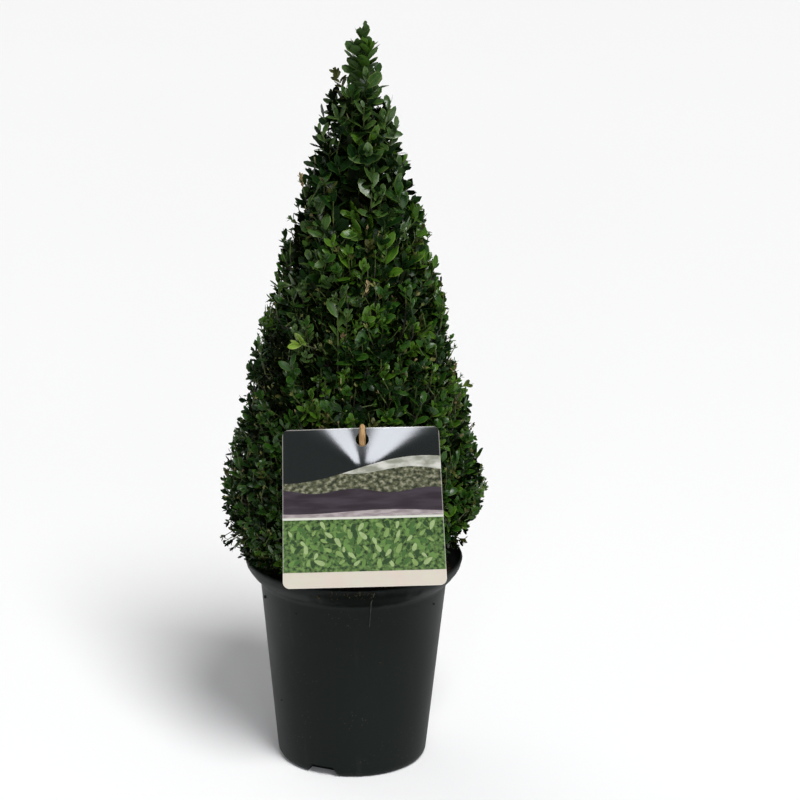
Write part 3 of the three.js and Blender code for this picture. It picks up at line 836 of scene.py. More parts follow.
@dataclass
class Soil:
    """The compost that fills the pot, with a rough top and loose crumbs."""

    pot: Pot
    clearance: float = 0.0006
    radius: float = 0.0862
    top: float = 0.172
    bottom: float = 0.0034
    shoulder: float = 0.001
    pocket_height: float = 0.024
    pocket_inside: float = 0.030
    pocket_gap: float = 0.004
    rings: int = 46
    steps: int = 150
    settled: float = 0.0012
    relief: float = 0.0011
    lumps: tuple[Pair, ...] = ((55, 1.2), (170, 0.7), (480, 0.4))
    level_round_trunk: Pair = (0.014, 0.022)
    crumbs: int = 420
    crumb_sizes: Pair = (0.0007, 0.0021)
    seed: int = 90

    def height(self, x: float, y: float) -> float:
        """Returns the height of the rough top at a place."""
        place = Vector((x, y, 0))
        lumps = sum(noise.noise(place * scale) * share for scale, share in self.lumps)
        rough = ease(*self.level_round_trunk, math.hypot(x, y))
        return self.top - self.settled * rough + self.relief * lumps * rough

    def build(self) -> None:
        """Makes the soil and its crumbs."""
        edge = self.top - self.shoulder
        rows = [
            row for row in self.pot.profile(self.pot.wall + self.clearance, self.bottom)
            if row[1] < edge and (row[1] > self.pocket_height or row[0] < self.pocket_inside)
        ]
        foot = self.pot.low_radius - self.pot.pocket_size.y - self.pocket_gap
        rows.insert(1, (foot, self.bottom))
        rows += [(self.radius, edge)]
        for ring in range(self.rings):
            rows.append((self.radius * (1 - (ring + 1) / self.rings), self.top))
        bm = spun(rows, self.steps)
        for vert in bm.verts:
            if vert.co.z > self.top - self.shoulder / 2:
                vert.co.z = self.height(vert.co.x, vert.co.y)
        material = COMPOST.material()
        add_piece(mesh_of(bm, "compost"), [material], ["potting_soil"])
        self.scatter(material)

    def scatter(self, material: Material) -> None:
        """Strews crumbs of compost over the top."""
        stamp = Stamp.crumb()
        draw = random.Random(self.seed)
        frames = []
        for _ in range(self.crumbs):
            azimuth = draw.uniform(0, 2 * math.pi)
            radius = math.sqrt(draw.uniform(0.03, 1)) * (self.radius - 0.003)
            size = draw.uniform(*self.crumb_sizes)
            x, y = math.cos(azimuth) * radius, math.sin(azimuth) * radius
            angle = draw.uniform(0, 6)
            turn = Matrix.Rotation(angle, 3, Vector((draw.random(), draw.random(), 1)))
            sizes = (size, size * draw.uniform(0.5, 0.9), size * draw.uniform(0.4, 0.7))
            place = (x, y, self.height(x, y) + size * 0.2)
            frames.append(frame_of(turn @ Matrix.Diagonal(sizes), place))
        mesh = stamp.joined("crumbs", stamp.turned(frames))
        add_piece(mesh, [material], ["potting_soil"])


@dataclass
class Spill:
    """Compost and a pale root strand that cling to the outside of the pot.

    The specks' places are azimuths in degrees, heights and sizes, and the strand's are azimuths
    and heights.
    """

    pot: Pot
    specks: tuple[tuple[float, float, float], ...] = (
        (-107.5, 0.1780, 0.0016), (-126.5, 0.1530, 0.0010), (-150.0, 0.0605, 0.0012),
        (-29.0, 0.1540, 0.0010), (-161.0, 0.1535, 0.0016), (-71.0, 0.1120, 0.0008),
        (60.0, 0.1400, 0.0012), (145.0, 0.0900, 0.0009),
    )
    crumb_arc: Pair = (-101.0, -77.0)
    crumb_low: float = 0.1765
    crumb_sizes: Pair = (0.0004, 0.0011)
    crumbs: int = 46
    strand: tuple[Pair, ...] = (
        (-78.2, 0.1840), (-79.4, 0.1735), (-78.6, 0.1660), (-79.0, 0.1475),
    )
    girth: float = 0.0005
    seed: int = 57

    def on_wall(self, azimuth: float, z: float, lift: float) -> Vector:
        """Returns a place on the pot's outside, some way proud of it."""
        rows = self.pot.profile(0, 0)[1:]
        radius = float(np.interp(z, [row[1] for row in rows], [row[0] for row in rows]))
        return spot(math.radians(azimuth), radius + lift, z)

    def build(self) -> None:
        """Makes the crumbs and the strand."""
        stamp = Stamp.crumb()
        draw = random.Random(self.seed)
        spots = list(self.specks)
        for _ in range(self.crumbs):
            low = blend(self.crumb_low, self.pot.height - 0.001, draw.random() ** 0.5)
            spots.append((draw.uniform(*self.crumb_arc), low, draw.uniform(*self.crumb_sizes)))
        frames = []
        for azimuth, z, size in spots:
            ranges = (0.4, 0.6), (0.6, 1.1), (0.7, 1.3)
            sizes = [size * draw.uniform(*limits) for limits in ranges]
            turn = Matrix.Rotation(math.radians(azimuth), 3, "Z")
            turn = turn @ Matrix.Rotation(draw.uniform(-1, 1), 3, "X")
            place = self.on_wall(azimuth, z, sizes[0] * 0.6)
            frames.append(frame_of(turn @ Matrix.Diagonal(sizes), place))
        mesh = stamp.joined("clinging_crumbs", stamp.turned(frames))
        add_piece(mesh, [WET_COMPOST.material()], ["potting_soil"])
        path = [self.on_wall(azimuth, z, self.girth * 0.8) for azimuth, z in self.strand]
        radii = np.linspace(self.girth, self.girth * 0.6, len(path))[None]
        add_limbs("root_strand", 6, np.array([path]), radii, ROOT, ["potting_soil"])


@dataclass(frozen=True)
class Band:
    """One printed band of the card: the rolling line under which it starts, and its pattern."""

    level: float
    swell: float
    pace: float
    shift: float
    scale: float
    detail: float
    stretch: Sequence[float]
    stops: Stops

    def pattern(self, card: Surface) -> Socket:
        """Returns the band's colours."""
        return card.ramp(card.noise(self.scale, self.detail, self.stretch, "UV"), *self.stops)

    def above(self, card: Surface, across: Socket, up: Socket) -> Socket:
        """Returns 1 above the band's line and 0 below it."""
        roll = card.maths("SINE", card.maths("MULTIPLY_ADD", across, self.pace, self.shift))
        line = card.maths("MULTIPLY_ADD", roll, self.swell, self.level)
        return card.maths("GREATER_THAN", up, line)


@dataclass(frozen=True)
class TagFinish:
    """The card's print: charcoal above, soft muted bands, a pale line, leaf green, a cream strip,
    and a pale border that is partly print and partly a painted highlight of the card's edges.

    Places are shares of the card's width and height.
    """

    cream: Colour = (0.505, 0.478, 0.395)
    warm: Colour = (0.520, 0.448, 0.385)
    # The pale border: partly a print margin, partly a painted highlight of the card's edges.
    edge: Colour = (0.640, 0.610, 0.560)
    charcoal: Colour = (0.0050, 0.0076, 0.0070)
    line: Colour = (0.520, 0.530, 0.460)
    mist: Stops = ((0.40, (0.210, 0.215, 0.170)), (0.62, (0.480, 0.475, 0.430)))
    margin: float = 0.005
    margin_share: float = 0.30
    cream_top: float = 0.100
    line_low: float = 0.432
    line_high: float = 0.446
    head_low: float = 0.715
    head_slope: float = 0.06
    head_pace: float = 4.2
    head_shift: float = -1.9
    head_swell: float = 0.055
    inks: tuple[Colour, ...] = (
        (0.115, 0.225, 0.050), (0.050, 0.125, 0.026), (0.195, 0.300, 0.090),
        (0.020, 0.055, 0.012), (0.300, 0.400, 0.170),
    )

    def bands(self) -> tuple[Band, ...]:
        """Returns the speckled, plum, pinkish and leaf green bands."""
        far = (
            (0.38, (0.020, 0.025, 0.014)), (0.52, (0.080, 0.084, 0.045)),
            (0.66, (0.230, 0.225, 0.160)),
        )
        near = (0.40, (0.020, 0.014, 0.019)), (0.62, (0.040, 0.030, 0.039))
        path = (0.40, (0.220, 0.185, 0.190)), (0.62, (0.330, 0.290, 0.290))
        leafy = (0.36, (0.006, 0.022, 0.004)), (0.66, (0.120, 0.210, 0.055))
        return (
            Band(0.735, 0.020, 9.0, 0.6, 34, 5, (1, 1.3, 1), far),
            Band(0.610, 0.014, 13.0, 2.1, 7, 3, (0.5, 3, 1), near),
            Band(0.478, 0.010, 6.0, 4.0, 14, 3, (1, 4, 1), path),
            Band(self.line_high, 0.0, 0.0, 0.0, 44, 4, EVEN, leafy),
        )

    def printed(self) -> Material:
        """Returns the material of the printed face."""
        card = Surface("tag_print", 0.12, 0.5)
        coordinates = {"Vector": card.node("ShaderNodeTexCoord").outputs["UV"]}
        split = card.node("ShaderNodeSeparateXYZ", coordinates)
        across, up = split.outputs["X"], split.outputs["Y"]
        base = card.ramp(card.noise(9, 4, (1, 2, 1), "UV"), *self.mist)
        for band in self.bands():
            base = card.mix(band.above(card, across, up), band.pattern(card), base)
        middle, half = (self.line_low + self.line_high) / 2, (self.line_high - self.line_low) / 2
        base = card.mix(card.maths("COMPARE", up, middle, half), base, self.line)
        wave = card.maths("MULTIPLY_ADD", across, self.head_pace, self.head_shift)
        slope = card.maths("MULTIPLY_ADD", across, self.head_slope, self.head_low)
        head = card.maths("MULTIPLY_ADD", card.maths("SINE", wave), self.head_swell, slope)
        base = card.mix(card.maths("GREATER_THAN", up, head), base, self.charcoal)
        warmth = card.ramp(card.noise(5, 3, EVEN, "UV"), (0.40, 0.0), (0.60, 1.0))
        paper = card.mix(warmth, self.cream, self.warm)
        base = card.mix(card.maths("LESS_THAN", up, self.cream_top), base, paper)
        # A pale border all round: partly a print margin, partly a painted highlight of the card's
        # edges.
        away = [card.maths("ABSOLUTE", card.maths("SUBTRACT", way, 0.5)) for way in (across, up)]
        margin = card.maths("GREATER_THAN", card.maths("MAXIMUM", *away), 0.5 - self.margin)
        base = card.mix(card.maths("MULTIPLY", margin, self.margin_share), base, self.edge)
        card.feed("Base Color", base)
        return card.material

    def blank(self) -> Material:
        """Returns the material of the card's back and edges."""
        return drifting("tag_back", (0.70, 0.69, 0.63), (0.62, 0.61, 0.56), 40, 3, 0.35)

    def motif_materials(self) -> list[Material]:
        """Returns the inks of the leaf motifs."""
        return [
            drifting(
                f"tag_leaf_ink_{index + 1}", ink, tuple(part * 0.6 for part in ink), 300, 2, 0.18
            )
            for index, ink in enumerate(self.inks)
        ]


@dataclass
class Tag:
    """The picture tag: a glossy card with round corners and a hole, leant back on the foliage."""

    side: float = 0.134
    thickness: float = 0.0008
    corner: float = 0.0058
    corner_steps: int = 9
    taper: float = 0.028
    centre: Vector = field(default_factory=lambda: Vector((0.0093, -0.113, 0.2672)))
    lean: float = math.radians(11)
    roll: float = math.radians(2.3)
    hole_radius: float = 0.0056
    hole_sides: int = 40
    hole: Vector = field(default_factory=lambda: Vector((0.0012, 0.0572, 0)))
    edge_clear: float = 0.003
    back_clear: float = 0.0028
    bow: float = 0.0004
    pull: float = 0.0034
    pull_left: float = 0.030
    pull_right: float = 0.046
    pull_low: float = 0.034
    pull_round: float = 0.15
    top_forward: float = 0.0024
    cuts: int = 60
    motifs: int = 120
    motif_rows: int = 6
    motif_across: float = 0.46
    motif_band: Pair = (0.135, 0.405)
    motif_sizes: Pair = (0.0028, 0.0048)
    motif_slimness: float = 0.42
    motif_point: float = 0.35
    motif_height: float = 0.00006
    seed: int = 12
    finish: TagFinish = TagFinish()

    def __post_init__(self) -> None:
        """Keeps the way back from the scene to the card."""
        self.inverse = self.place().inverted()

    def place(self) -> Matrix:
        """Returns the card's place, with its own +Z out of its face and +Y up it."""
        turn = Matrix.Rotation(math.pi / 2 - self.lean, 4, "X") @ Matrix.Rotation(self.roll, 4, "Z")
        return Matrix.Translation(self.centre) @ turn

    def hides(self, point: Vector) -> bool:
        """Tells whether a point lies in the card or in front of it."""
        local = self.inverse @ point
        reach = self.side / 2 + self.edge_clear
        back = min(0.0, self.bend(local)) - self.thickness / 2 - self.back_clear
        return abs(local.x) < reach and abs(local.y) < reach and not local.z < back

    def bend(self, place: Vector) -> float:
        """Returns how far the card stands forwards at a place.

        Args:
            place: The place on the flat card.

        Returns:
            Its lean and bow, less the fold that the peg pulls into the card's top.
        """
        aside = place.x - self.hole.x
        height = 1 - (self.side / 2 - place.y) / self.pull_low
        grow = math.hypot(max(0.0, height), self.pull_round)
        width = grow * (self.pull_left if aside < 0 else self.pull_right)
        fold = self.pull * grow * math.exp(-(aside / width) ** 2) * ease(-0.8, 0.0, height)
        lean = self.top_forward * (0.5 + place.y / self.side)
        return lean - fold - self.bow * (2 * place.x / self.side) ** 2

    def sheet(self) -> BMesh:
        """Returns the flat card's front, cut finely enough to bend."""
        bm = bmesh.new()
        half = self.side / 2
        corners = bmesh.ops.create_grid(bm, x_segments=1, y_segments=1, size=half)["verts"]
        bmesh.ops.bevel(
            bm, geom=corners, offset=self.corner, affect="VERTICES", segments=self.corner_steps,
            profile=0.5, material=-1,
        )
        for face in list(bm.faces):
            bm.faces.remove(face)
        hole = Matrix.Translation(self.hole)
        bmesh.ops.create_circle(
            bm, segments=self.hole_sides, radius=self.hole_radius, matrix=hole
        )
        bmesh.ops.triangle_fill(bm, use_beauty=True, edges=bm.edges)
        for axis in (Vector((1, 0, 0)), Vector((0, 1, 0))):
            for index in range(1, self.cuts):
                place = axis * blend(-half, half, index / self.cuts)
                geometry = bm.verts[:] + bm.edges[:] + bm.faces[:]
                bmesh.ops.bisect_plane(bm, geom=geometry, plane_co=place, plane_no=axis)
        bmesh.ops.recalc_face_normals(bm, faces=bm.faces)
        if sum(face.normal.z for face in bm.faces) < 0:
            bmesh.ops.reverse_faces(bm, faces=bm.faces)
        return bm

    def build(self) -> None:
        """Makes the card and the leaf motifs printed on it."""
        bm = self.sheet()
        prints = bm.loops.layers.uv.new("print")
        for face in bm.faces:
            for loop in face.loops:
                across, up = loop.vert.co.x / self.side, loop.vert.co.y / self.side
                loop[prints].uv = (across + 0.5, up + 0.5)
        extruded = bmesh.ops.extrude_face_region(bm, geom=list(bm.faces))["geom"]
        raised = only(extruded, bmesh.types.BMVert)
        bmesh.ops.translate(bm, verts=raised, vec=(0, 0, self.thickness))
        printed = set(only(extruded, bmesh.types.BMFace))
        for face in bm.faces:
            face.material_index = 0 if face in printed else 1
        bmesh.ops.translate(bm, verts=bm.verts, vec=(0, 0, -self.thickness / 2))
        bmesh.ops.recalc_face_normals(bm, faces=bm.faces)
        self.settle(bm)
        materials = [self.finish.printed(), self.finish.blank()]
        add_piece(mesh_of(bm, "tag_card"), materials, ["picture_tag"])
        self.print_leaves()

    def settle(self, bm: BMesh) -> None:
        """Bends the card, narrows it towards its top and moves it to its place."""
        for vert in bm.verts:
            vert.co.z += self.bend(vert.co)
            vert.co.x *= 1 - self.taper * vert.co.y / (self.side / 2)
        bmesh.ops.transform(bm, matrix=self.place(), verts=bm.verts)

    def motif(self) -> Stamp:
        """Returns one leaf motif, a low prism of height 1."""
        bm = bmesh.new()
        bmesh.ops.create_circle(bm, cap_ends=True, segments=12, radius=1)
        for vert in bm.verts:
            vert.co.x *= self.motif_slimness * (1 - self.motif_point * vert.co.y)
        face = list(bm.faces)
        bmesh.ops.recalc_face_normals(bm, faces=face)
        raised = bmesh.ops.extrude_face_region(bm, geom=face)["geom"]
        bmesh.ops.translate(bm, verts=only(raised, bmesh.types.BMVert), vec=UP)
        bmesh.ops.recalc_face_normals(bm, faces=bm.faces)
        return Stamp.of(bm)

    def print_leaves(self) -> None:
        """Adds the leaf motifs of the card's green band, a hair proud of it."""
        stamp = self.motif()
        draw = random.Random(self.seed)
        groups: list[list[np.ndarray]] = [[] for _ in self.finish.inks]
        rows = self.motif_rows
        for index in range(self.motifs):
            row = index % rows
            along = index // rows + 0.5 * (row % 2) + draw.uniform(0.0, 0.5)
            share = along / (self.motifs / rows + 0.5)
            x = blend(-self.motif_across, self.motif_across, share) * self.side
            up = blend(*self.motif_band, (row + draw.uniform(0.2, 0.8)) / rows)
            y = (up - 0.5) * self.side
            size = draw.uniform(*self.motif_sizes)
            angle = draw.uniform(-1.2, 1.2) + math.pi * (index % 2)
            height = self.thickness / 2 + self.bend(Vector((x, y, 0)))
            frame = self.place() @ Matrix.Translation((x, y, height))
            frame = frame @ Matrix.Rotation(angle, 4, "Z")
            frame = frame @ Matrix.Diagonal((size, size, self.motif_height, 1))
            groups[index % len(groups)].append(np.array(frame)[:3])
        for index, (frames, ink) in enumerate(zip(groups, self.finish.motif_materials())):
            mesh = stamp.joined(f"printed_leaves_{index + 1}", stamp.turned(frames))
            add_piece(mesh, [ink], ["picture_tag"])


@dataclass
class Peg:
    """The round wooden peg that the tag hangs on, with its far end in the foliage."""

    frame: Frame
    rise: float = math.radians(62)
    radius: float = 0.0028
    clear: float = 0.0012
    end_band: float = 0.0005
    sides: int = 20
    rings: int = 40
    shoulder: float = 0.18
    worn_tip: float = 0.25
    ripple: float = 0.02
    ripple_pace: float = 23

    def __post_init__(self) -> None:
        """Reads the peg's ends from the frame."""
        self.axis = Vector((0, -math.cos(self.rise), math.sin(self.rise)))
        self.foot, self.head = self.frame.ends("tag_peg", self.axis, self.end_band)

    def hides(self, point: Vector) -> bool:
        """Tells whether a point lies in the peg or too near to it."""
        away = point - self.foot
        return (away - self.axis * away.dot(self.axis)).length < self.radius + self.clear

    def girth(self, share: float) -> float:
        """Returns how thick the peg is at a share of its length, worn towards its head."""
        worn = self.shoulder * ease(0.84, 0.97, share)
        tip = self.worn_tip * ease(0.97, 1.0, share)
        return 1 - worn - tip + self.ripple * math.sin(share * self.ripple_pace)

    def build(self) -> None:
        """Makes the peg."""
        shares = np.linspace(0, 1, self.rings)
        path = np.array([[self.foot.lerp(self.head, share) for share in shares]])
        radii = np.array([[self.girth(share) for share in shares]]) * self.radius
        add_limbs("wooden_peg", self.sides, path, radii, PEG_WOOD, ["tag_peg"])


@dataclass
class Limbs:
    """The trunk and the boughs, each a mesh with the bark's relief."""

    frame: Frame
    boughs: int = 6
    clear: float = 0.001
    trunk_steps: int = 170
    trunk_sides: int = 28
    trunk_relief: float = 0.16
    bough_steps: int = 30
    bough_sides: int = 14
    bough_relief: float = 0.14
    bough_girth: Pair = (0.0038, 0.0024)
    bough_sag: float = 0.003
    bough_end: float = 0.004
    ridge_scale: float = 260
    ridge_stretch: float = 55
    knot_scale: float = 38
    knot_share: float = 0.8

    def __post_init__(self) -> None:
        """Reads the trunk's rings from the frame."""
        self.centres, self.radii = self.frame.rings("trunk")

    def trunk_at(self, height: float) -> tuple[Vector, float]:
        """Returns the trunk's middle and radius at a height."""
        low, high = self.centres[0].z, self.centres[-1].z
        place = min(1.0, max(0.0, (height - low) / (high - low))) * (len(self.centres) - 1)
        index = min(int(place), len(self.centres) - 2)
        share = place - index
        middle = self.centres[index].lerp(self.centres[index + 1], share)
        return middle, blend(self.radii[index], self.radii[index + 1], share)

    def hides(self, point: Vector) -> bool:
        """Tells whether a point lies in the trunk."""
        if point.z > self.centres[-1].z:
            return False
        middle, radius = self.trunk_at(point.z)
        return math.hypot(point.x - middle.x, point.y - middle.y) < radius + self.clear

    def add_barked(
        self, node: str, path: Sequence[Vector], radii: Sequence[float], sides: int, relief: float
    ) -> None:
        """Adds a limb with ridged bark.

        Args:
            node: The solid that it replaces.
            path: The limb's middle, from its foot.
            radii: Its radii along the path.
            sides: How many sides it has.
            relief: How deep the bark's furrows are, as a share of the radius.
        """
        tube = Tube(sides, len(path))
        stamp = tube.stamp()
        points = tube.along(stamp, np.array(path)[None], np.array(radii)[None])[0]
        ring = stamp.points[:, 2].astype(int)
        middles = np.array(path)[ring]
        pattern = (self.ridge_scale, self.ridge_scale, self.ridge_stretch)
        for index, point in enumerate(points):
            ridges = noise.noise(Vector([part * scale for part, scale in zip(point, pattern)]))
            knots = noise.noise(Vector(point) * self.knot_scale)
            if 0 < ring[index] < len(path) - 1:
                swell = 1 + relief * (ridges + knots * self.knot_share)
                points[index] = middles[index] + (point - middles[index]) * swell
        mesh = stamp.joined(f"{node}_bark", points[None], math.radians(60))
        add_piece(mesh, [self.bark], [node])

    def build(self) -> None:
        """Makes the trunk and the boughs."""
        self.bark = BARK.material()
        low, high = self.centres[0].z, self.centres[-1].z
        steps = self.trunk_steps
        rows = [self.trunk_at(blend(low, high, step / steps)) for step in range(steps + 1)]
        middles, radii = zip(*rows)
        self.add_barked("trunk", middles, radii, self.trunk_sides, self.trunk_relief)
        steps = self.bough_steps
        radii = [blend(*self.bough_girth, step / steps) for step in range(steps + 1)]
        for index in range(self.boughs):
            node = f"bough_{index + 1}"
            path = self.bough_path(node)
            self.add_barked(node, path, radii, self.bough_sides, self.bough_relief)

    def bough_path(self, node: str) -> list[Vector]:
        """Returns a bough's middle line, from its solid's two ends and its sag."""
        low, high = (Vector(corner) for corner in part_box(node))
        outward = Vector(((low.x + high.x) / 2, (low.y + high.y) / 2, 0)).normalized()
        start, end = self.frame.ends(node, outward, self.bough_end)
        bend = (start + end) / 2 - UP * self.bough_sag
        return curve(start, bend, end, self.bough_steps)


@dataclass
class Leaf:
    """A box leaf: leathery, arched, with turned-down edges and a paler underside."""

    half_width: float = 0.255
    widest: float = 1.22
    fullness: float = 0.68
    arch: float = 0.085
    droop: float = 0.075
    rib: float = 0.018
    thickness: float = 0.03

    def stamp(self, rows: int, end: float = 1.0) -> Stamp:
        """Makes a leaf one unit long, from its foot at the origin along +Y, upper side up.

        Args:
            rows: How many stretches it has along its length.
            end: Where shears cut it off, as a share of its length.

        Returns:
            The stamp, with material 0 above and 1 below.
        """
        bm = bmesh.new()
        bm.loops.layers.uv.new("print")
        bmesh.ops.create_grid(bm, x_segments=2, y_segments=rows, size=0.5, calc_uvs=True)
        for vert in bm.verts:
            along = end * (0.5 - 0.5 * math.cos(math.pi * (vert.co.y + 0.5)))
            inside = min(1.0, max(0.0, along))
            swell = max(0.0, math.sin(math.pi * inside ** self.widest)) ** self.fullness
            width = self.half_width * swell if 0.001 < inside < 0.999 else 0
            side = vert.co.x * 2
            lift = self.arch * math.sin(math.pi * along) - self.arch * 0.9 * along ** 3
            lift -= self.droop * abs(side) * (width / self.half_width) ** 2
            vert.co = (side * width, along, lift)
            if abs(side) < 0.1:
                vert.co.z -= self.rib * math.sin(math.pi * along)
        bmesh.ops.remove_doubles(bm, verts=bm.verts, dist=LEAF_WELD)
        geometry = bm.verts[:] + bm.edges[:] + bm.faces[:]
        lower = only(bmesh.ops.duplicate(bm, geom=geometry)["geom"], bmesh.types.BMFace)
        bmesh.ops.reverse_faces(bm, faces=lower)
        for face in lower:
            face.material_index = 1
        for vert in {vert for face in lower for vert in face.verts}:
            if abs(vert.co.x) < 1e-4 and 0.01 < vert.co.y < end - 0.01:
                vert.co.z -= self.thickness
        bmesh.ops.remove_doubles(bm, verts=bm.verts, dist=LEAF_WELD)
        return Stamp.of(bm)


@dataclass(frozen=True)
class Layer:
    """One layer of shoots under the clipped outline."""

    name: str
    depth: float
    scatter: float
    spacing: float
    length: float
    leaf: float
    gap: float
    pairs: int
    seed: int
    top: float
    form: Form
    wander: float = 0.34
    follow: float = 1.0


@dataclass(frozen=True)
class Strays:
    """A group of low shoots: how many, where their tips lie, their leaves and their freedom."""

    count: int
    azimuths: Pair
    radii: Pair
    heights: Pair
    leaves: Pair
    pairs: int
    stray: float


@dataclass
class Shoot:
    """A thin shoot: where it leaves its branch, where its leaves start and where it ends."""

    fork: Vector
    foot: Vector
    tip: Vector
    leaf: float
    gap: float
    pairs: int
    tone: Tone
    mass: Mass
    form: Form
    stray: float = 0.0
    spread: float = 1.0


@dataclass
class Sprays:
    """The leaves of each mass, green and form, as frames for the leaf stamps."""

    frames: dict[tuple[Mass, Tone, Form], list[np.ndarray]] = field(default_factory=dict)

    def add(self, mass: Mass, tone: Tone, form: Form, frame: np.ndarray) -> None:
        """Keeps one leaf."""
        self.frames.setdefault((mass, tone, form), []).append(frame)


@dataclass
class Crown:
    """The clipped crown: its outline, and the rule by which branches, shoots and leaves fill it."""

    limbs: Limbs
    tag: Tag
    peg: Peg
    height: float = 0.658
    wide_height: float = 0.250
    radius: float = 0.114
    bulge: float = 0.80
    skirt_height: float = 0.197
    skirt_slant: float = 0.010
    draw_in: float = 0.23
    draw_in_slant: float = 0.06
    overhang: float = 0.005
    stray: float = 0.005
    rim_height: float = 0.1875
    rim_inside: float = 0.086
    lowest: float = 0.176
    branch_spacing: float = 0.040
    branch_steps: int = 6
    stub_spacing: float = 0.033
    rises: tuple[float, float, float] = (-12, 42, 66)
    largest_growth: float = 1.85
    growth_rise: Pair = (0.36, 0.55)
    spoon_rise: Pair = (0.40, 0.55)
    spoon_share: float = 0.3
    longest_leaf: float = 0.020
    longest_dry: float = 0.0055
    longest_olive: float = 0.0085
    clipped_share: float = 0.22
    clipped_rise: Pair = (0.40, 0.50)
    clump_scale: float = 29
    clump_level: float = 0.06
    clump_depth: float = 0.032
    tuft_scale: float = 68
    tuft_depth: float = 0.011
    gap_scale: float = 58
    gap_level: float = 0.27
    patch_scale: float = 24
    patch_chance: float = 0.75
    patch_rise: Pair = (0.26, 0.58)
    # Painted light: how much brighter the greens are dealt on the lit side.
    patch_lush: float = 0.22
    muted_scale: float = 15
    muted_rise: Pair = (0.34, 0.62)
    # Painted light: how far the lit side is spared muted greens.
    muted_lush: float = 0.40
    muted_level: float = 0.42
    # The side the lights fall on, where the foliage is lusher and its greens are brighter as
    # painted light.
    lush_side: float = math.radians(-25)
    lush_size: float = 0.16
    patch_shift: Pair = (-0.20, 0.60)
    deep_below: float = 0.0
    middle_below: float = 0.40
    sprig_middle_below: float = 0.5
    olive_share: float = 0.05
    pale_buds: float = 0.26
    olive_buds: float = 0.38
    fresh_share: float = 0.1
    dry_from: float = 0.96
    shoot_sizes: Pair = (0.70, 1.26)
    shoot_lengths: Pair = (0.8, 1.2)
    shoot_scatter: float = 0.36
    farthest_out: float = 0.003
    fork_below: float = 0.02
    spread: float = 0.92
    dry_spread: float = 0.45
    hanging_rise: Pair = (-38, -8)
    hanging_scatter: float = 0.3
    hanging_length: float = 0.022
    hanging_gap: float = 0.50
    turn_scatter: float = 0.14
    spread_scatter: float = 9
    twist_scatter: float = 0.48
    face_up: float = 0.10
    face_out: float = 0.06
    leaf_lengths: Pair = (0.88, 1.12)
    leaf_widths: Pair = (0.78, 1.14)
    leaf_curls: Pair = (0.5, 1.7)
    first_gap: float = 0.16
    branch_radii: Pair = (0.0022, 0.0011)
    woody_radii: Pair = (0.0009, 0.0005)
    green_radii: Pair = (0.0006, 0.0003)
    stub_depths: Pair = (0.001, 0.008)
    stub_lengths: Pair = (0.003, 0.007)
    stub_girths: Pair = (0.0004, 0.0008)
    narrowest_turn: float = 0.016
    golden_angle: float = math.pi * (3 - math.sqrt(5))
    seed: int = 14

    borders = ((Mass.LOWER, 0.316, 0.7), (Mass.MIDDLE, 0.432, 1.0), (Mass.UPPER, 0.560, 1.5))

    layers = (
        Layer("outer", 0.002, 0.004, 0.0113, 0.022, 0.0090, 0.44, 5, 3, 0.615, Form.OUTER),
        Layer("sprig", -0.001, 0.003, 0.0270, 0.030, 0.0128, 0.46, 5, 11, 0.610, Form.SPRIG, 0.55),
        Layer("buds", 0.002, 0.004, 0.0096, 0.010, 0.0050, 0.60, 1, 13, 0.500, Form.BUD, 0.90),
        Layer(
            "second", 0.009, 0.004, 0.0112, 0.026, 0.0092, 0.46, 5, 5, 0.600, Form.INNER, follow=0.5
        ),
        Layer(
            "under", 0.021, 0.006, 0.0155, 0.032, 0.0120, 0.42, 4, 7, 0.560, Form.INNER, follow=0.5
        ),
        Layer("inner", 0.042, 0.008, 0.0240, 0.036, 0.0150, 0.42, 4, 9, 0.430, Form.INNER),
    )

    strays = (
        Strays(70, (150, 262), (0.058, 0.086), (0.181, 0.198), (0.0075, 0.0125), 5, 0.004),
        Strays(34, (176, 228), (0.080, 0.097), (0.190, 0.200), (0.0075, 0.0115), 4, 0.004),
        Strays(12, (150, 208), (0.106, 0.116), (0.194, 0.212), (0.0040, 0.0065), 2, 0.030),
        Strays(9, (-36, 12), (0.088, 0.098), (0.200, 0.211), (0.0060, 0.0092), 3, 0.030),
        Strays(12, (184, 212), (0.092, 0.100), (0.186, 0.193), (0.0060, 0.0100), 4, 0.030),
    )

    leaders = (
        ((0.004, 0.000, 0.630), (0.0056, 0.000, 0.6505), 0.0150, 0.60, 1, 0.60, Tone.MUTED),
        ((0.002, 0.001, 0.580), (0.0046, 0.000, 0.6420), 0.0200, 0.28, 9, 0.72, Tone.MUTED),
        ((0.002, 0.000, 0.590), (0.0092, -0.004, 0.6340), 0.0170, 0.34, 6, 0.70, Tone.FRESH),
        ((0.001, 0.000, 0.590), (-0.0010, -0.004, 0.6340), 0.0170, 0.34, 6, 0.70, Tone.MUTED),
        ((0.002, 0.001, 0.590), (0.0055, 0.007, 0.6330), 0.0170, 0.34, 6, 0.74, Tone.MIDDLE),
        ((0.001, 0.001, 0.565), (-0.0180, 0.002, 0.6120), 0.0100, 0.46, 6, 0.90, Tone.OLIVE),
        ((0.001, 0.000, 0.560), (0.0150, -0.006, 0.6040), 0.0155, 0.36, 7, 0.90, Tone.MUTED),
        ((0.000, 0.001, 0.565), (0.0050, 0.014, 0.6080), 0.0155, 0.36, 7, 0.90, Tone.MIDDLE),
        ((0.000, 0.001, 0.555), (-0.0070, -0.015, 0.5960), 0.0155, 0.36, 7, 0.90, Tone.MUTED),
    )

    limes = ((-122, 0.397), (20, 0.330), (110, 0.450))

    pair_spreads = (12, 30, 44, 52, 58, 62)
    pair_sizes = (0.50, 0.78, 0.96, 1.0, 1.0, 0.95)

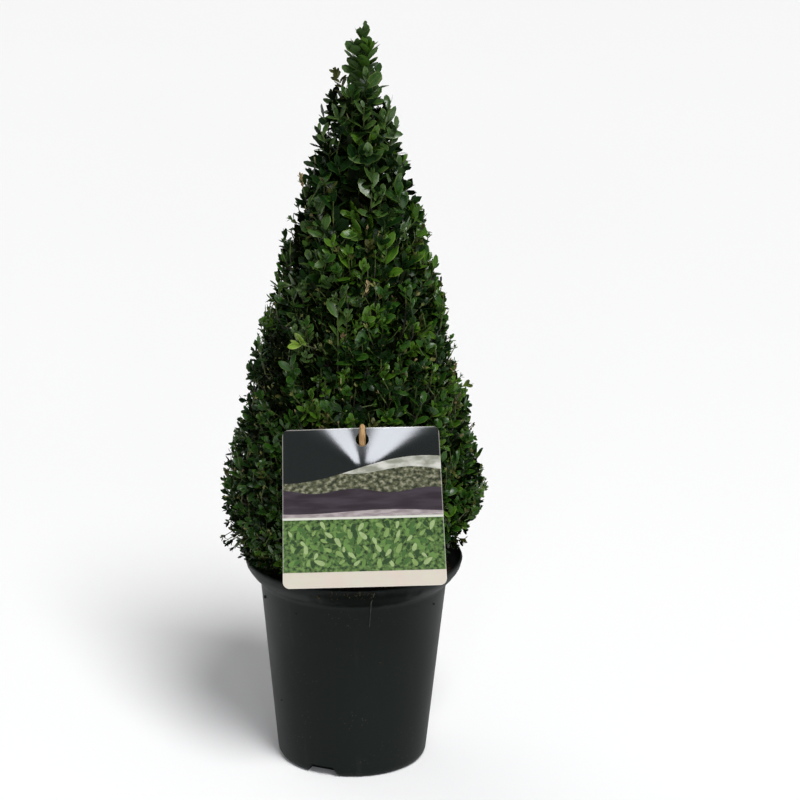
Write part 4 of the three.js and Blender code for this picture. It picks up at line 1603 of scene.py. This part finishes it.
    def outline(self, z: float, azimuth: float) -> float:
        """Returns the crown's radius at a height and azimuth."""
        if z >= self.wide_height:
            share = max(0.0, (self.height - z) / (self.height - self.wide_height))
            return self.radius * share ** self.bulge
        drop = (self.wide_height - z) / (self.wide_height - self.skirt(azimuth))
        draw_in = self.draw_in + self.draw_in_slant * math.cos(azimuth)
        return self.radius * (1 - draw_in * min(1.0, drop) ** 2)

    def skirt(self, azimuth: float) -> float:
        """Returns how low the skirt hangs at an azimuth."""
        return self.skirt_height + self.skirt_slant * math.cos(azimuth)

    def rise(self, z: float) -> float:
        """Returns how steeply shoots rise at a height: drooping low down, steep near the top."""
        low, middle, high = self.rises
        skirt = self.skirt_height - self.skirt_slant
        if z < self.wide_height:
            share = (z - skirt) / (self.wide_height - skirt)
            return math.radians(blend(low, middle, share))
        share = (z - self.wide_height) / (self.height - self.wide_height)
        return math.radians(blend(middle, high, min(1.0, share * 1.5)))

    def growth(self, z: float) -> float:
        """Returns how much larger leaves grow at a height than low down, where shears go most."""
        return blend(1.0, self.largest_growth, ease(*self.growth_rise, z))

    def lushness(self, azimuth: float) -> float:
        """Returns how much lusher and more lit the foliage is at an azimuth, from -1 on its poor,
        shaded side to 1; it sizes leaves and paints light into greens.
        """
        return math.cos(azimuth - self.lush_side)

    def mass_at(self, point: Vector) -> Mass:
        """Returns the mass whose space a point lies in."""
        radius = math.hypot(point.x, point.y)
        for mass, height, slope in self.borders:
            if point.z < height + slope * radius:
                return mass
        return Mass.LEADER

    def is_free(self, point: Vector, overhang: float) -> bool:
        """Tells whether a point lies in the crown and clear of pot, trunk, tag and peg."""
        radius = math.hypot(point.x, point.y)
        reach = self.outline(point.z, math.atan2(point.y, point.x)) + overhang
        if radius > reach or point.z > self.height:
            return False
        if point.z < self.rim_height and (radius > self.rim_inside or point.z < self.lowest):
            return False
        return not (self.tag.hides(point) or self.peg.hides(point) or self.limbs.hides(point))

    def spiral(self, spacing: float, top: float, depth: float) -> list[tuple[float, float, float]]:
        """Spreads points over the outline on one spiral.

        Args:
            spacing: How far apart the points are.
            top: The height where the spiral ends.
            depth: How far under the outline the points lie.

        Returns:
            Heights, azimuths and radii.
        """
        places = []
        z = self.skirt_height - self.skirt_slant + 0.003
        index = 0
        while z < top:
            azimuth = index * self.golden_angle
            radius = self.outline(z, azimuth) - depth
            if z > self.skirt(azimuth) and radius > 0.002:
                places.append((z, azimuth, radius))
            step = spacing * self.growth(z) ** 0.85
            z += step ** 2 / (2 * math.pi * max(radius, self.narrowest_turn))
            index += 1
        return places

    def branches(self) -> list[list[Vector]]:
        """Grows the branches that carry the shoots, each a line from the trunk outwards."""
        draw = random.Random(self.seed)
        grown = []
        for z, azimuth, radius in self.spiral(self.branch_spacing, 0.60, 0.030):
            rise = self.rise(z) + draw.uniform(-0.1, 0.1)
            end = spot(azimuth, radius, z)
            inner = max(0.186, z - radius * blend(0.75, 1.5, ease(0.25, 0.6, z)))
            start, girth = self.limbs.trunk_at(inner)
            start = start + heading(azimuth, 0) * girth * 0.8
            bend = end - heading(azimuth, rise) * radius * 0.5
            grown.append(curve(start, bend, end, self.branch_steps))
        foot = self.limbs.centres[-1]
        tip = Vector((0.0055, 0, self.height - 0.012))
        steps = self.branch_steps
        grown.append([foot.lerp(tip, step / steps) for step in range(steps + 1)])
        return grown

    def tone(self, place: Vector, layer: Layer, draw: random.Random) -> Tone:
        """Deals a spray its green: near-black painted shade inside, darker low down, brighter on
        the lit side as painted light, in loose patches outside.

        Args:
            place: Where the spray grows.
            layer: The layer that it grows in.
            draw: The source of chance.

        Returns:
            The green.
        """
        patch = noise.noise(place * self.patch_scale)
        patch += draw.uniform(-self.patch_chance, self.patch_chance)
        patch += blend(*self.patch_shift, ease(*self.patch_rise, place.z))
        # Painted light: brighter greens, fewer of them muted, on the lit side.
        lush_and_lit = self.lushness(math.atan2(place.y, place.x))
        patch += self.patch_lush * lush_and_lit
        muted = noise.noise(place * self.muted_scale + Vector((4, 1, 9)))
        muted += ease(*self.muted_rise, place.z) - self.muted_lush * lush_and_lit
        is_muted = muted > self.muted_level
        chance = draw.random()
        # Painted shade: the under and inner layers get the near-black green, and the second layer
        # mostly gets it.
        if layer.name in ("under", "inner"):
            return Tone.SHADE
        if layer.name == "second":
            return Tone.SHADE if patch < self.middle_below else Tone.DEEP
        if layer.name == "buds" and chance < self.olive_buds:
            return Tone.PALE if chance < self.pale_buds else Tone.OLIVE
        if layer.name == "sprig" and patch < self.sprig_middle_below:
            return Tone.MIDDLE
        if layer.name == "outer":
            if chance < self.olive_share:
                return Tone.OLIVE
            if patch < self.deep_below:
                return Tone.DEEP
            if patch < self.middle_below and not is_muted:
                return Tone.MIDDLE
        if chance > self.dry_from:
            return Tone.DRY
        return Tone.MUTED if is_muted and chance > self.fresh_share else Tone.FRESH

    def dent(self, place: Vector) -> float:
        """Returns how far the foliage falls back at a place, in hollows between clumps."""
        clump = max(0.0, noise.noise(place * self.clump_scale) - self.clump_level)
        tuft = max(0.0, noise.noise(place * self.tuft_scale))
        return clump * self.clump_depth + tuft * self.tuft_depth

    def is_gap(self, place: Vector, layer: Layer) -> bool:
        """Tells whether a place is one of the dark gaps that the outer layers leave open."""
        if layer.name not in ("outer", "sprig", "buds"):
            return False
        return noise.noise(place * self.gap_scale + Vector((7, 3, 5))) > self.gap_level

    def shoots(self, branches: list[list[Vector]]) -> list[Shoot]:
        """Grows the shoots of all layers from the branches."""
        knots = np.array([point for line in branches for point in line[2:]])
        grown = []
        for layer in self.layers:
            draw = random.Random(layer.seed)
            for z, azimuth, radius in self.spiral(layer.spacing, layer.top, layer.depth):
                place = spot(azimuth, radius, z)
                shoot = self.shoot(layer, place, azimuth, draw, knots)
                if not self.is_gap(place, layer):
                    grown.append(shoot)
        return grown

    def shoot(
        self, layer: Layer, place: Vector, azimuth: float, draw: random.Random, knots: np.ndarray
    ) -> Shoot:
        """Grows one shoot of a layer.

        Args:
            layer: The layer.
            place: Where its tip lies where nothing moves it.
            azimuth: The place's azimuth.
            draw: The source of chance.
            knots: The places where shoots may leave branches.

        Returns:
            The shoot.
        """
        z = place.z
        size = self.growth(z) * draw.uniform(*self.shoot_sizes)
        size *= 1 + self.lush_size * self.lushness(azimuth)
        rise = self.rise(z) + draw.gauss(0, self.shoot_scatter)
        way = heading(azimuth + draw.gauss(0, layer.wander), rise)
        inward = draw.gauss(0, layer.scatter) - self.dent(place) * layer.follow
        tip = place + heading(azimuth, 0) * min(inward, self.farthest_out)
        foot = tip - way * layer.length * draw.uniform(*self.shoot_lengths)
        fork = nearest(knots, foot - way * self.fork_below)
        tone = self.tone(place, layer, draw)
        leaf = min(layer.leaf * size, self.longest_leaf)
        spread = self.spread
        if tone is Tone.DRY:
            leaf, spread = min(leaf, self.longest_dry), self.dry_spread
        if tone is Tone.OLIVE:
            leaf = min(leaf, self.longest_olive)
        form = layer.form
        if layer.name in ("outer", "sprig"):
            if draw.random() < self.spoon_share * ease(*self.spoon_rise, z):
                form = Form.SPOON
        mass = self.mass_at(place)
        return Shoot(
            fork, foot, tip, leaf, layer.gap, layer.pairs, tone, mass, form, spread=spread
        )

    def hanging_shoots(self, branches: list[list[Vector]]) -> list[Shoot]:
        """Grows the low shoots that hang into the pot, and those that stray below the skirt."""
        knots = np.array([point for line in branches for point in line[1:]])
        draw = random.Random(self.seed + 2)
        # Painted shade: the low shoots under the skirt are dealt mostly dark greens, the near-black
        # one among them.
        tones = (Tone.OLIVE, Tone.SHADE, Tone.SHADE, Tone.DEEP, Tone.DEEP)
        grown = []
        for group in self.strays:
            for _ in range(group.count):
                azimuth = math.radians(draw.uniform(*group.azimuths))
                drift = draw.gauss(0, self.hanging_scatter)
                rise = math.radians(draw.uniform(*self.hanging_rise))
                way = heading(azimuth + drift, rise)
                tip = spot(azimuth, draw.uniform(*group.radii), draw.uniform(*group.heights))
                foot = tip - way * self.hanging_length
                fork = nearest(knots, foot - way * self.fork_below)
                tone = draw.choice(tones)
                leaf = draw.uniform(*group.leaves)
                shoot = Shoot(
                    fork, foot, tip, leaf, self.hanging_gap, group.pairs, tone, Mass.LOWER,
                    Form.OUTER, group.stray,
                )
                grown.append(shoot)
        return grown

    def leading_shoots(self) -> list[Shoot]:
        """Returns the few long shoots that give the crown its tip and its straying ends."""
        fork = self.limbs.centres[-1]
        return [
            Shoot(
                fork, Vector(foot), Vector(tip), leaf, gap, pairs, tone, Mass.LEADER, Form.SPOON,
                self.stray, spread,
            )
            for foot, tip, leaf, gap, pairs, spread, tone in self.leaders
        ]

    def lime_shoots(self) -> list[Shoot]:
        """Returns the few young shoots whose leaves are still pale yellow-green."""
        grown = []
        for degrees, height in self.limes:
            side = math.radians(degrees)
            radius = self.outline(height, side)
            tip = spot(side, radius + 0.006, height)
            fork = spot(side, radius - 0.030, height - 0.012)
            foot = tip - heading(side - 0.7, 0.35) * 0.014
            shoot = Shoot(
                fork, foot, tip, 0.0165, 0.4, 2, Tone.LIME, Mass.MIDDLE, Form.SPRIG, 0.008
            )
            grown.append(shoot)
        return grown

    def leaf_frame(
        self, foot: Vector, way: Vector, face: Vector, length: float, draw: random.Random
    ) -> np.ndarray:
        """Returns a leaf's frame, given its foot, the way it points, its face and its length."""
        width = length * draw.uniform(*self.leaf_widths)
        curl = length * draw.uniform(*self.leaf_curls)
        return np.array([way.cross(face) * width, way * length, face * curl, foot]).T

    def leafed(self, shoot: Shoot, sprays: Sprays, draw: random.Random) -> int:
        """Sets a shoot's leaves in crossed pairs, the youngest nearly closed at its tip.

        Args:
            shoot: The shoot.
            sprays: Where the leaves are kept.
            draw: The source of chance.

        Returns:
            How many leaves found room.
        """
        axis = (shoot.tip - shoot.foot).normalized()
        aside = square_to(Vector((-axis.y, axis.x, 0.01)), axis)
        cross = axis.cross(aside)
        turn = draw.uniform(0, math.pi)
        below = 0.0
        kept = 0
        overhang = self.overhang + shoot.stray
        outward = Vector((shoot.tip.x, shoot.tip.y, 0)).normalized()
        for pair in range(shoot.pairs + 1):
            age = min(pair, len(self.pair_sizes) - 1)
            foot = shoot.tip - axis * below
            for side in range(2):
                angle = turn + pair * math.pi / 2 + side * math.pi
                angle += draw.gauss(0, self.turn_scatter)
                out = aside * math.cos(angle) + cross * math.sin(angle)
                spread = self.pair_spreads[age] * shoot.spread + draw.gauss(0, self.spread_scatter)
                spread = math.radians(spread)
                way = axis * math.cos(spread) + out * math.sin(spread)
                face = axis * math.sin(spread) - out * math.cos(spread)
                twist = way.cross(face) * draw.gauss(0, self.twist_scatter)
                face = face + UP * self.face_up + outward * self.face_out + twist
                face = square_to(face, way)
                length = shoot.leaf * self.pair_sizes[age] * draw.uniform(*self.leaf_lengths)
                clipped = self.clipped_share * (1 - 0.8 * ease(*self.clipped_rise, foot.z))
                is_clipped = shoot.form is Form.OUTER and draw.random() < clipped
                ends = foot + way * length, foot + way * length * 0.5
                if all(self.is_free(end, overhang) for end in ends):
                    frame = self.leaf_frame(foot, way, face, length, draw)
                    form = Form.CLIPPED if is_clipped else shoot.form
                    sprays.add(shoot.mass, shoot.tone, form, frame)
                    kept += 1
            below += shoot.leaf * blend(self.first_gap, shoot.gap, min(1.0, pair / 2))
        return kept

    def build(self) -> None:
        """Makes the branches, shoots and leaves."""
        draw = random.Random(self.seed + 1)
        branches = self.branches()
        shoots = self.leading_shoots() + self.lime_shoots() + self.shoots(branches)
        shoots += self.hanging_shoots(branches)
        sprays = Sprays()
        bearing = [shoot for shoot in shoots if self.leafed(shoot, sprays, draw) > 1]
        self.join_leaves(sprays)
        radii = np.linspace(*self.branch_radii, self.branch_steps + 1)[None]
        add_limbs("branches", 6, np.array(branches), radii, SHADED_BRANCH, ALL_MASSES)
        self.join_shoots([shoot for shoot in bearing if self.is_free(shoot.foot, shoot.stray)])
        self.join_stubs(draw)

    def join_leaves(self, sprays: Sprays) -> None:
        """Joins the leaves of each mass, green and form in one piece."""
        leaf = Leaf()
        stamps = {
            Form.BUD: leaf.stamp(2), Form.INNER: leaf.stamp(3), Form.OUTER: leaf.stamp(4),
            Form.CLIPPED: leaf.stamp(2, 0.62), Form.SPRIG: leaf.stamp(5),
            Form.SPOON: Leaf(0.29, 1.50, 0.62).stamp(5),
        }
        materials = {finish.tone: finish.faces() for finish in LEAF_FINISHES}
        for key, frames in sorted(sprays.frames.items(), key=lambda item: str(item[0])):
            mass, tone, form = key
            stamp = stamps[form]
            name = f"{mass.value}_{tone.value}_{form.value}"
            mesh = stamp.joined(name, stamp.turned(frames))
            add_piece(mesh, materials[tone], [mass.value])

    def join_shoots(self, shoots: list[Shoot]) -> None:
        """Joins the shoots in two pieces, woody inside and green outside."""
        rings = 4
        woody, green = [], []
        for shoot in shoots:
            way = (shoot.tip - shoot.foot).normalized()
            bend = shoot.foot - way * (shoot.foot - shoot.fork).length * 0.45
            if not self.is_free(bend, -0.004):
                bend = shoot.foot.lerp(shoot.fork, 0.5)
            woody.append(curve(shoot.fork, bend, shoot.foot, rings - 1))
            shares = [ring / (rings - 1) for ring in range(rings)]
            green.append([shoot.foot.lerp(shoot.tip, share) for share in shares])
        for name, paths, ends, finish in (
            ("woody_twigs", woody, self.woody_radii, SHADED_BRANCH),
            ("green_stems", green, self.green_radii, STEM),
        ):
            radii = np.linspace(*ends, rings)[None]
            add_limbs(name, 4, np.array(paths), radii, finish, ALL_MASSES)

    def join_stubs(self, draw: random.Random) -> None:
        """Joins the short tan stubs of shears' cuts in one piece."""
        paths, radii = [], []
        for z, azimuth, radius in self.spiral(self.stub_spacing, 0.62, 0.004):
            drift = draw.uniform(-0.3, 0.3)
            place = spot(azimuth + drift, radius, z + draw.uniform(-0.01, 0.01))
            way = heading(azimuth + draw.gauss(0, 0.7), self.rise(z) + draw.gauss(0.3, 0.3))
            tip = place - heading(azimuth, 0) * draw.uniform(*self.stub_depths)
            foot = tip - way * draw.uniform(*self.stub_lengths)
            girth = draw.uniform(*self.stub_girths)
            if self.is_free(tip, 0.0) and self.is_free(foot, 0.0):
                paths.append([foot, foot.lerp(tip, 0.5), tip])
                radii.append([girth, girth, girth * 0.9])
        add_limbs(
            "cut_stubs", 6, np.array(paths), np.array(radii), CUT, ALL_MASSES
        )


@dataclass
class Studio:
    """The camera at the photograph's viewpoint, the pale floor and the soft lights."""

    eye: Vector = field(default_factory=lambda: Vector((0.045, -2.49, 1.092)))
    pitch: float = math.radians(17.08)
    yaw: float = math.radians(-0.14)
    roll: float = math.radians(0.73)
    lens: float = 135.6
    sensor: float = 36.0
    ambient: float = 0.24
    cool: Colour = (0.90, 0.93, 1.0)
    lit_height: float = 0.33
    floor_radius: float = 30
    floor_light: Colour = (0.93, 0.93, 0.93)
    floor_dark: Colour = (0.90, 0.90, 0.90)

    suns = (
        ("overhead", (-0.35, 0.75, -1.15), 2.75, 22),
        ("behind", (0.55, -0.70, -1.20), 0.3, 40),
    )
    lamps = (
        ("soft_left", (-0.30, -2.6, 0.95), 0.24, 0.36, 6.5),
        ("soft_right", (0.42, -2.6, 0.95), 0.24, 0.36, 6.5),
        ("soft_middle", (0.03, -2.6, 1.12), 0.30, 0.40, 1.5),
        ("high_right", (1.05, -2.4, 1.30), 0.80, 0.80, 8),
    )

    def camera(self) -> None:
        """Makes the camera."""
        data = bpy.data.cameras.new("camera")
        data.lens = self.lens
        data.sensor_width = self.sensor
        ahead = heading(math.pi / 2 - self.yaw, -self.pitch)
        level = Vector((math.cos(self.yaw), -math.sin(self.yaw), 0))
        upright = level.cross(ahead)
        right = level * math.cos(self.roll) + upright * math.sin(self.roll)
        up = upright * math.cos(self.roll) - level * math.sin(self.roll)
        turn = Matrix((right, up, -ahead)).transposed().to_4x4()
        camera = put("camera", data)
        camera.matrix_world = Matrix.Translation(self.eye) @ turn
        bpy.context.scene.camera = camera

    def hang(self, name: str, data: bpy.types.Light, way: Vector) -> bpy.types.Object:
        """Adds a lamp that shines along a way."""
        lamp = put(name, data)
        lamp.rotation_mode = "QUATERNION"
        lamp.rotation_quaternion = way.to_track_quat("-Z", "Y")
        return lamp

    def floor(self) -> None:
        """Makes the pale floor."""
        bm = bmesh.new()
        bmesh.ops.create_circle(bm, cap_ends=True, segments=96, radius=self.floor_radius)
        bmesh.ops.recalc_face_normals(bm, faces=bm.faces)
        mesh = mesh_of(bm, "floor")
        paint = drifting("pale_floor", self.floor_light, self.floor_dark, 0.7, 2, 0.9, 0.1)
        mesh.materials.append(paint)
        put("floor", mesh)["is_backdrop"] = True

    def build(self) -> None:
        """Makes the camera, floor, lights and surroundings."""
        self.camera()
        self.floor()
        world = bpy.data.worlds.new("surroundings")
        world.use_nodes = True
        backdrop = world.node_tree.nodes["Background"]
        backdrop.inputs["Color"].default_value = (1.0, 1.0, 1.0, 1)
        backdrop.inputs["Strength"].default_value = self.ambient
        bpy.context.scene.world = world
        for name, way, strength, angle in self.suns:
            data = bpy.data.lights.new(name, "SUN")
            data.energy = strength
            data.angle = math.radians(angle)
            self.hang(name, data, Vector(way))
        for name, place, width, height, power in self.lamps:
            data = bpy.data.lights.new(name, "AREA")
            data.color = self.cool
            data.shape = "RECTANGLE"
            data.size = width
            data.size_y = height
            data.energy = power
            lamp = self.hang(name, data, UP * self.lit_height - Vector(place))
            lamp.location = place
        bpy.context.scene.view_settings.view_transform = "Standard"


def corners() -> list[list[float]]:
    """Returns the shown object's lowest and highest corner."""
    return [list(corner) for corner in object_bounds()]


def main() -> None:
    """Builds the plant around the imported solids."""
    logging.basicConfig(level=logging.INFO, format="%(message)s")
    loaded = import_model()
    frame = Frame(loaded["nodes"])
    Studio().build()
    pot = Pot()
    pot.build()
    Soil(pot).build()
    Spill(pot).build()
    limbs = Limbs(frame)
    limbs.build()
    tag = Tag()
    tag.build()
    peg = Peg(frame)
    peg.build()
    Crown(limbs, tag, peg).build()


if __name__ == "__main__":
    main()
